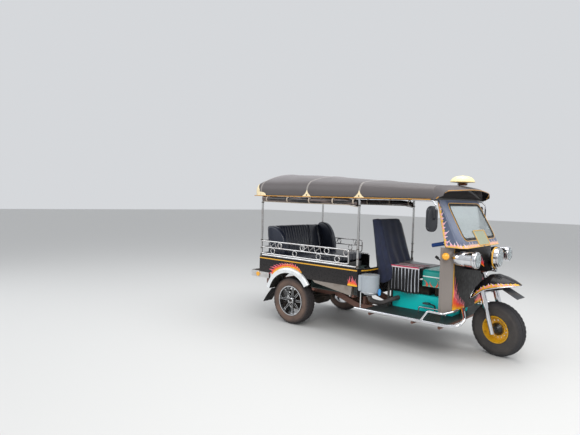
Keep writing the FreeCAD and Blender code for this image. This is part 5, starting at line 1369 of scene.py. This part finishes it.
def hung_blanket():
    """Woven blanket, doubled over the cushion's right edge, in soft vertical folds to its fringe."""
    columns, rows = 150, 42
    form = Form()
    for v, u in ((i / rows, j / columns) for i in range(rows + 1) for j in range(columns + 1)):
        x = 1108 + 326 * u
        reach = 400 * v
        fold = sin(2 * pi * (x - 1108) / 37.5 + 0.5 * sin(u * 9))
        if reach < 132:
            y, z = -138 - reach, 775.4 - 2.2 * (1 - reach / 132) + 0.4 * fold
        elif reach < 148:
            turn = (reach - 132) / 16 * pi / 2
            y, z = -270 - 8.5 * sin(turn), 766.9 + 8.5 * cos(turn)
        else:
            drop = reach - 148
            ease = min(1.0, drop / 120)
            y = -280.5 - 4.5 * ease + (1.0 + 6.5 * ease) * fold + 2.5 * sin(u * 11 + drop / 60)
            z = 766.9 - drop * (0.925 - 0.03 * sin(u * 7))
            x += 5 * ease * sin(u * 5 + 1)
        form.points.append(at(x, y, z))
    blanket = form.grid(rows + 1, columns + 1).piece("hung_blanket", blanket_stripes, "cloth_stripe")
    thicken(blanket, "cloth thickness", 0.0016)
    hem = form.points[-columns - 1:]
    tassels = Form()
    for k in range(1, columns, 2):
        sway = 0.004 * noise.noise(Vector((k * 0.7, 0, 0)))
        line = [hem[k] + Vector((sway * t, 0.002 * t * sin(k), -0.022 * t)) for t in (0, 0.5, 1)]
        tassels.tube(line, [0.0013, 0.0012, 0.0006], 4)
    fringe = tassels.piece("blanket_fringe", fringe_cotton, "cloth_stripe", smooth=False)
    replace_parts(blanket, "seat_blanket")


def jacket_wrap(u, middle, half, edge, inner):
    """Plan of the jacket round the seat back: rear, corner, side, corner and front, by share u."""
    corner = 22
    if u < 0.36:
        return middle - half, -(inner + (edge - inner - corner) * u / 0.36)
    if u < 0.40:
        turn = (u - 0.36) / 0.04 * pi / 2
        return middle - half + corner * (1 - cos(turn)), -(edge - corner + corner * sin(turn))
    if u < 0.56:
        return middle - half + corner + (2 * half - 2 * corner) * (u - 0.40) / 0.16, -edge
    if u < 0.60:
        turn = (u - 0.56) / 0.04 * pi / 2
        return middle + half - corner + corner * sin(turn), -(edge - corner + corner * cos(turn))
    return middle + half, -(edge - corner) + (edge - corner + 150) * (u - 0.60) / 0.40


def jacket():
    """Jacket over the seat back's right shoulder: wraps rear, side and front, in long folds."""
    columns, rows = 130, 64
    top = 1238
    form = Form()
    for v, u in ((i / rows, j / columns) for i in range(rows + 1) for j in range(columns + 1)):
        side_part = exp(-((u - 0.47) / 0.17) ** 2)
        hem = 792 - 232 * side_part + 24 * sin(u * 17) * side_part
        open_out = (v / 0.07) ** 0.8 if v < 0.07 else 1.0
        z = top + 7 - 7 * open_out ** 2 if v < 0.07 else top - (top - hem) * (v - 0.07) / 0.93
        fall = max(0.0, (top - z) / 680)
        low = min(top, max(770.0, z))
        front = 1106 - 0.328 * (low - 770) + (8 if z < 778 else 0)
        rear = 946 - 0.203 * (low - 775)
        middle = (front + rear) / 2
        edge = 255 + 12 * open_out + 22 * min(1.0, fall * 2)
        half, reach = (front - rear) / 2 * (0.12 + 0.88 * open_out), 198 if u < 0.5 else 38
        x, y = jacket_wrap(u, middle, half, edge, reach)
        out = Vector((x - middle, 0.3 * (y + 120), 0)).normalized()
        depth = 2.0 + 13.0 * min(1.0, fall * 1.6)
        fold = sin(u * 46 + 1.2 * sin(fall * 4) + 0.6 * sin(u * 13))
        fold += 0.5 * noise.noise(Vector((u * 16, fall * 2.5, 5.0)))
        relief = depth * 0.5 * (1 + fold) * min(1.0, v * 9)
        form.points.append(at(*(Vector((x, y, z)) + out * relief)))
    piece = form.grid(rows + 1, columns + 1).piece("hung_jacket", navy, "cloth_navy")
    thicken(piece, "cloth thickness", 0.0022)
    edging = welt("jacket_trim", form.points[::columns + 1], 0.0045, pink_trim, "cloth_navy", sides=6)
    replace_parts(piece, "seat_jacket")


seat_mat()
hung_blanket()
jacket()

# Steering. Chromed fork tubes and handlebar with blue rubber grips; the mudguard is pressed steel
# in black enamel with a bright edge, a yellow band and pale flames.

# Mudguard sections: millimetres ahead of the wheel's centre, half width, edge height, crown height
FENDER = ((-185, 187, 291, 400), (-130, 190, 325, 470), (-72, 180, 375, 515), (-10, 165, 405, 527),
          (66, 142, 428, 515), (140, 100, 440, 492), (190, 55, 446, 470), (221, 14, 449, 455))
RIM_BEAD = 0.1435


def ahead_of(forward, y, z):
    """Point on the steered frame from millimetres off the wheel's centre, wheel straight ahead."""
    return steered @ Vector((forward / 1000, y / 1000, z / 1000))


dress(chrome, "front_fork", "handlebar")
blue_rubber = sheet_rubber("blue moulded rubber", "#12448c")
for name, side in SIDES:
    inner = Vector((-430, side * 247, 797.7))
    outer = Vector((-543, side * 282, 770.7))
    line = [ahead_of(*(inner + (outer - inner) * (0.02 + 0.99 * k / 40))) for k in range(41)]
    radii = [0.0225] * 2 + [0.0186 if k % 2 else 0.0198 for k in range(2, 41)]
    Form().tube(line, radii, 18).piece("grip_" + name, blue_rubber, "rubber", "steering")

dress(enamel("black mudguard enamel", "#100e12", rough=0.2, dust_share=0.08, dust_top=0.4,
             fleck=0.002, coat=0.1, shine=0.3), "front_fender")
fender_tree = skin_of("front_fender")


def fender_row(share):
    """Section of the mudguard: share 0 is the rear edge and 1 the tip."""
    spot = share * (len(FENDER) - 1)
    k = min(int(spot), len(FENDER) - 2)
    return [a + (b - a) * (spot - k) for a, b in zip(FENDER[k], FENDER[k + 1])]


def fender_spot(share, up, side):
    """Point over the mudguard: up is 0 at the edge and 1 on the crown."""
    forward, half, edge, crown = fender_row(share)
    angle = up * pi / 2
    return ahead_of(forward, side * (half + 6) * cos(angle), edge + (crown + 6 - edge) * sin(angle))


edge_line = [ahead_of(x, -half, z) for x, half, z, crown in FENDER[:-1]]
edge_line += [ahead_of(222, -8, 449), ahead_of(222, 8, 449)]
edge_line += [ahead_of(x, half, z) for x, half, z, crown in reversed(FENDER[:-1])]
welt("mudguard_edge", smooth_line(edge_line, 5), 0.0052, chrome, "chrome", "steering")
over_rear = [(k / 12, -1) for k in range(13)] + [(k / 12, 1) for k in reversed(range(12))]
rear_edge = [snapped(fender_tree, fender_spot(0.0, up, side))[0] for up, side in over_rear]
welt("mudguard_rear_edge", rear_edge, 0.004, chrome, "chrome", "steering")
tip_flames = flame_lacquer("yellow to white flame lacquer", (0.0, "#deae1c"), (0.2, "#e0b022"),
                           (0.34, "#ee7f45"), (0.6, "#ee8ea2"), (1.0, "#f4e4ec"))
FENDER_TONGUES = tuple((60 + 31 * k, 19, tall, -28 - 2 * (k % 3), 3 if k % 2 else -4)
                       for k, tall in enumerate((56, 76, 88, 80, 94, 84, 88, 76, 66, 54)))
for name, side in SIDES:
    def on_fender(u, v, side=side):
        forward, half, edge, crown = fender_row(u / 400)
        share = 0.05 + v / (half + crown - edge) * 0.8
        return snapped(fender_tree, fender_spot(u / 400, share, side))
    flame_piece("mudguard_flames_" + name, (30, 392, 58), FENDER_TONGUES, on_fender, tip_flames,
                body="steering", lift=0.0012)
dress(sheet_rubber("grey rubber flap", "#4a4c4f"), "fender_flap")


def pressed_wheel(name):
    """Ochre enamel on the pressed rim, black hub: told apart by the distance from the axle."""
    look = Finish(name)
    offset = look.add("VectorMath", "Value", {0: look.place, 1: steer_foot}, operation="DISTANCE")
    outside = look.add("Math", 0, {0: offset, 1: 0.0615}, operation="GREATER_THAN")
    clouds = look.add("TexNoise", "Fac", {"Vector": look.place, "Scale": 26.0, "Detail": 7.0})
    rust = look.add("ValToRGB", "Color", {"Fac": clouds}, ((0.56, 0.0), (0.72, 0.7)))
    shade = look.add("Mix", 2, {"Factor": rust, "A": "#dba41a", "B": "#7a5526"}, data_type="RGBA")
    blend = look.add("Mix", 2, {"Factor": outside, "A": "#1a1815", "B": shade}, data_type="RGBA")
    return look.done(Base_Color=blend, Roughness=0.38, Coat_Weight=0.2)


dress(pressed_wheel("ochre pressed steel wheel"), "front_rim")
hub_nuts = Form()
for side in (-1, 1):
    for c, s in circle(5, 0.043):
        foot, end = (steered @ Vector((c, side * y, s)) for y in (0.0155, 0.0235))
        hub_nuts.prism(foot, end, 0.007, 6)
hub_nuts.piece("front_hub_nuts", zinc, "chrome", "front_wheel", smooth=False)
welt("front_rim_bead", [steered @ Vector((c, -0.051, s)) for c, s in circle(72, RIM_BEAD)], 0.0028,
     enamel("ochre rim bead", "#c9951a", rough=0.35, dust_share=0.0), "paint_yellow", "front_wheel",
     closed=True, sides=6)

# Air cleaner and its hose, with the gear lever, pedal and stay. A painted steel can with a clamp
# band, a small blue filter bowl beside it, and a ribbed rubber hose that leads to the engine.

can_paint = enamel("pale grey can enamel", "#969fa7", rough=0.35, dust_share=0.35, dust_top=0.45)
dress(can_paint, "air_cleaner")
welt("air_cleaner_clamp", ring_line(1037, -560, 524, 96), 0.0045, zinc, "chrome", closed=True)


def stack(name, x, y, sides, rows, material, slot):
    """Round pieces on one upright axis, from (bottom, top, bottom radius, top radius) rows."""
    form = Form()
    for low, high, wide, top in rows:
        form.prism(at(x, y, low), at(x, y, high), wide / 1000, sides, tip_radius=top / 1000)
    form.piece(name, material, slot, smooth=False)


stack("air_cleaner_chamber", 962, -612, 28,
      ((530, 536, 26, 30), (536, 680, 30, 30), (680, 688, 30, 24)), can_paint, "can_white")
welt("air_cleaner_lid_seam", ring_line(1037, -560, 672, 92.4), 0.0028, can_paint, "can_white",
     closed=True)
stack("filter_bowl", 1147, -560, 24,
      ((500, 512, 9, 14), (512, 548, 14, 14), (548, 553, 16, 16), (553, 566, 10, 9)),
      enamel("blue filter plastic", "#2f8fd0", rough=0.25, dust_share=0.0), "paint_blue")
welt("filter_bowl_stay", [at(1126, -560, 545), at(1134, -560, 545)], 0.006, zinc, "chrome")


def ribbed_hose():
    """Convoluted rubber hose, 12 mm pitch, along the bent line of the CAD duct."""
    spots = ((1037, -560, 512), (1037, -560, 462), (1047, -531, 432), (1090, -440, 402),
             (1128, -384, 414), (1165, -318, 436), (1165, -206, 436))
    line = smooth_line([at(*spot) for spot in spots], 26)
    length = 0.0
    radii = []
    for spot, before in zip(line, line[:1] + line):
        length += (spot - before).length
        radii.append(0.0225 + 0.0017 * cos(2 * pi * length / 0.012))
    hose_rubber = sheet_rubber("grey brown hose rubber", "#4e4a49")
    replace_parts(Form().tube(line, radii, 18).piece("ribbed_hose", hose_rubber, "rubber"), "air_hose")


ribbed_hose()
dress(enamel("black control enamel", "#141414", rough=0.3, dust_share=0.0), "controls")
bar_spots = ((1455, 341), (1455, 392), (1462, 402), (1480, 405), (1700, 405), (1718, 402),
             (1725, 392), (1725, 341))
welt("foot_bar", smooth_line([at(x, -318, z) for x, z in bar_spots], 4), 0.007, chrome, "chrome",
     sides=12)

# Studio. A pale floor under the wheels, soft lamps on three sides and a plain pale surround; the
# camera has the photograph's place and lens.

scene = bpy.context.scene
shell = bpy.data.meshes.new("floor")
shell.from_pydata([(-40, -40, 0), (40, -40, 0), (40, 40, 0), (-40, 40, 0)], [], [(0, 1, 2, 3)])
shell.materials.append(Finish("pale studio floor").done(Base_Color=(0.62, 0.62, 0.61, 1.0),
                                                        Roughness=0.75))
floor = bpy.data.objects.new("floor", shell)
scene.collection.objects.link(floor)

for name, where, size, power, colour in (
        ("key", (3.4, -4.6, 4.6), 3.4, 180, (1.0, 0.98, 0.95)),
        ("side", (-5.0, -4.4, 4.4), 4.0, 105, (0.95, 0.97, 1.0)),
        ("front", (6.0, 1.6, 3.4), 3.0, 85, (1.0, 1.0, 1.0)),
        ("over", (0.2, 0.4, 5.2), 4.0, 150, (1.0, 1.0, 1.0))):
    lamp = bpy.data.lights.new(name, "AREA")
    lamp.energy, lamp.size, lamp.color = power, size, colour
    holder = bpy.data.objects.new(name, lamp)
    holder.location = where
    towards = Vector((0.1, 0.0, 0.8)) - Vector(where)
    holder.rotation_euler = towards.to_track_quat("-Z", "Y").to_euler()
    scene.collection.objects.link(holder)

scene.world = bpy.data.worlds.new("pale room")
scene.world.use_nodes = True
surround = scene.world.node_tree.nodes["Background"].inputs
surround["Color"].default_value = (0.86, 0.88, 0.91, 1.0)
surround["Strength"].default_value = 0.78
scene.view_settings.view_transform = "Standard"

lens = bpy.data.cameras.new("photograph")
lens.lens = 29.97
lens.sensor_width = 36.0
camera = bpy.data.objects.new("photograph", lens)
yaw, pitch, roll = 2.2888, -0.0384, 0.0278
ahead = Vector((cos(yaw) * cos(pitch), sin(yaw) * cos(pitch), sin(pitch)))
level = ahead.cross(UP).normalized()
upright = level.cross(ahead)
across = level * cos(roll) + upright * sin(roll)
above = upright * cos(roll) - level * sin(roll)
turned = Matrix((across, above, -ahead)).transposed().to_4x4()
camera.matrix_world = Matrix.Translation((2.7426, -4.7507, 1.4353)) @ turned
scene.collection.objects.link(camera)
scene.camera = camera
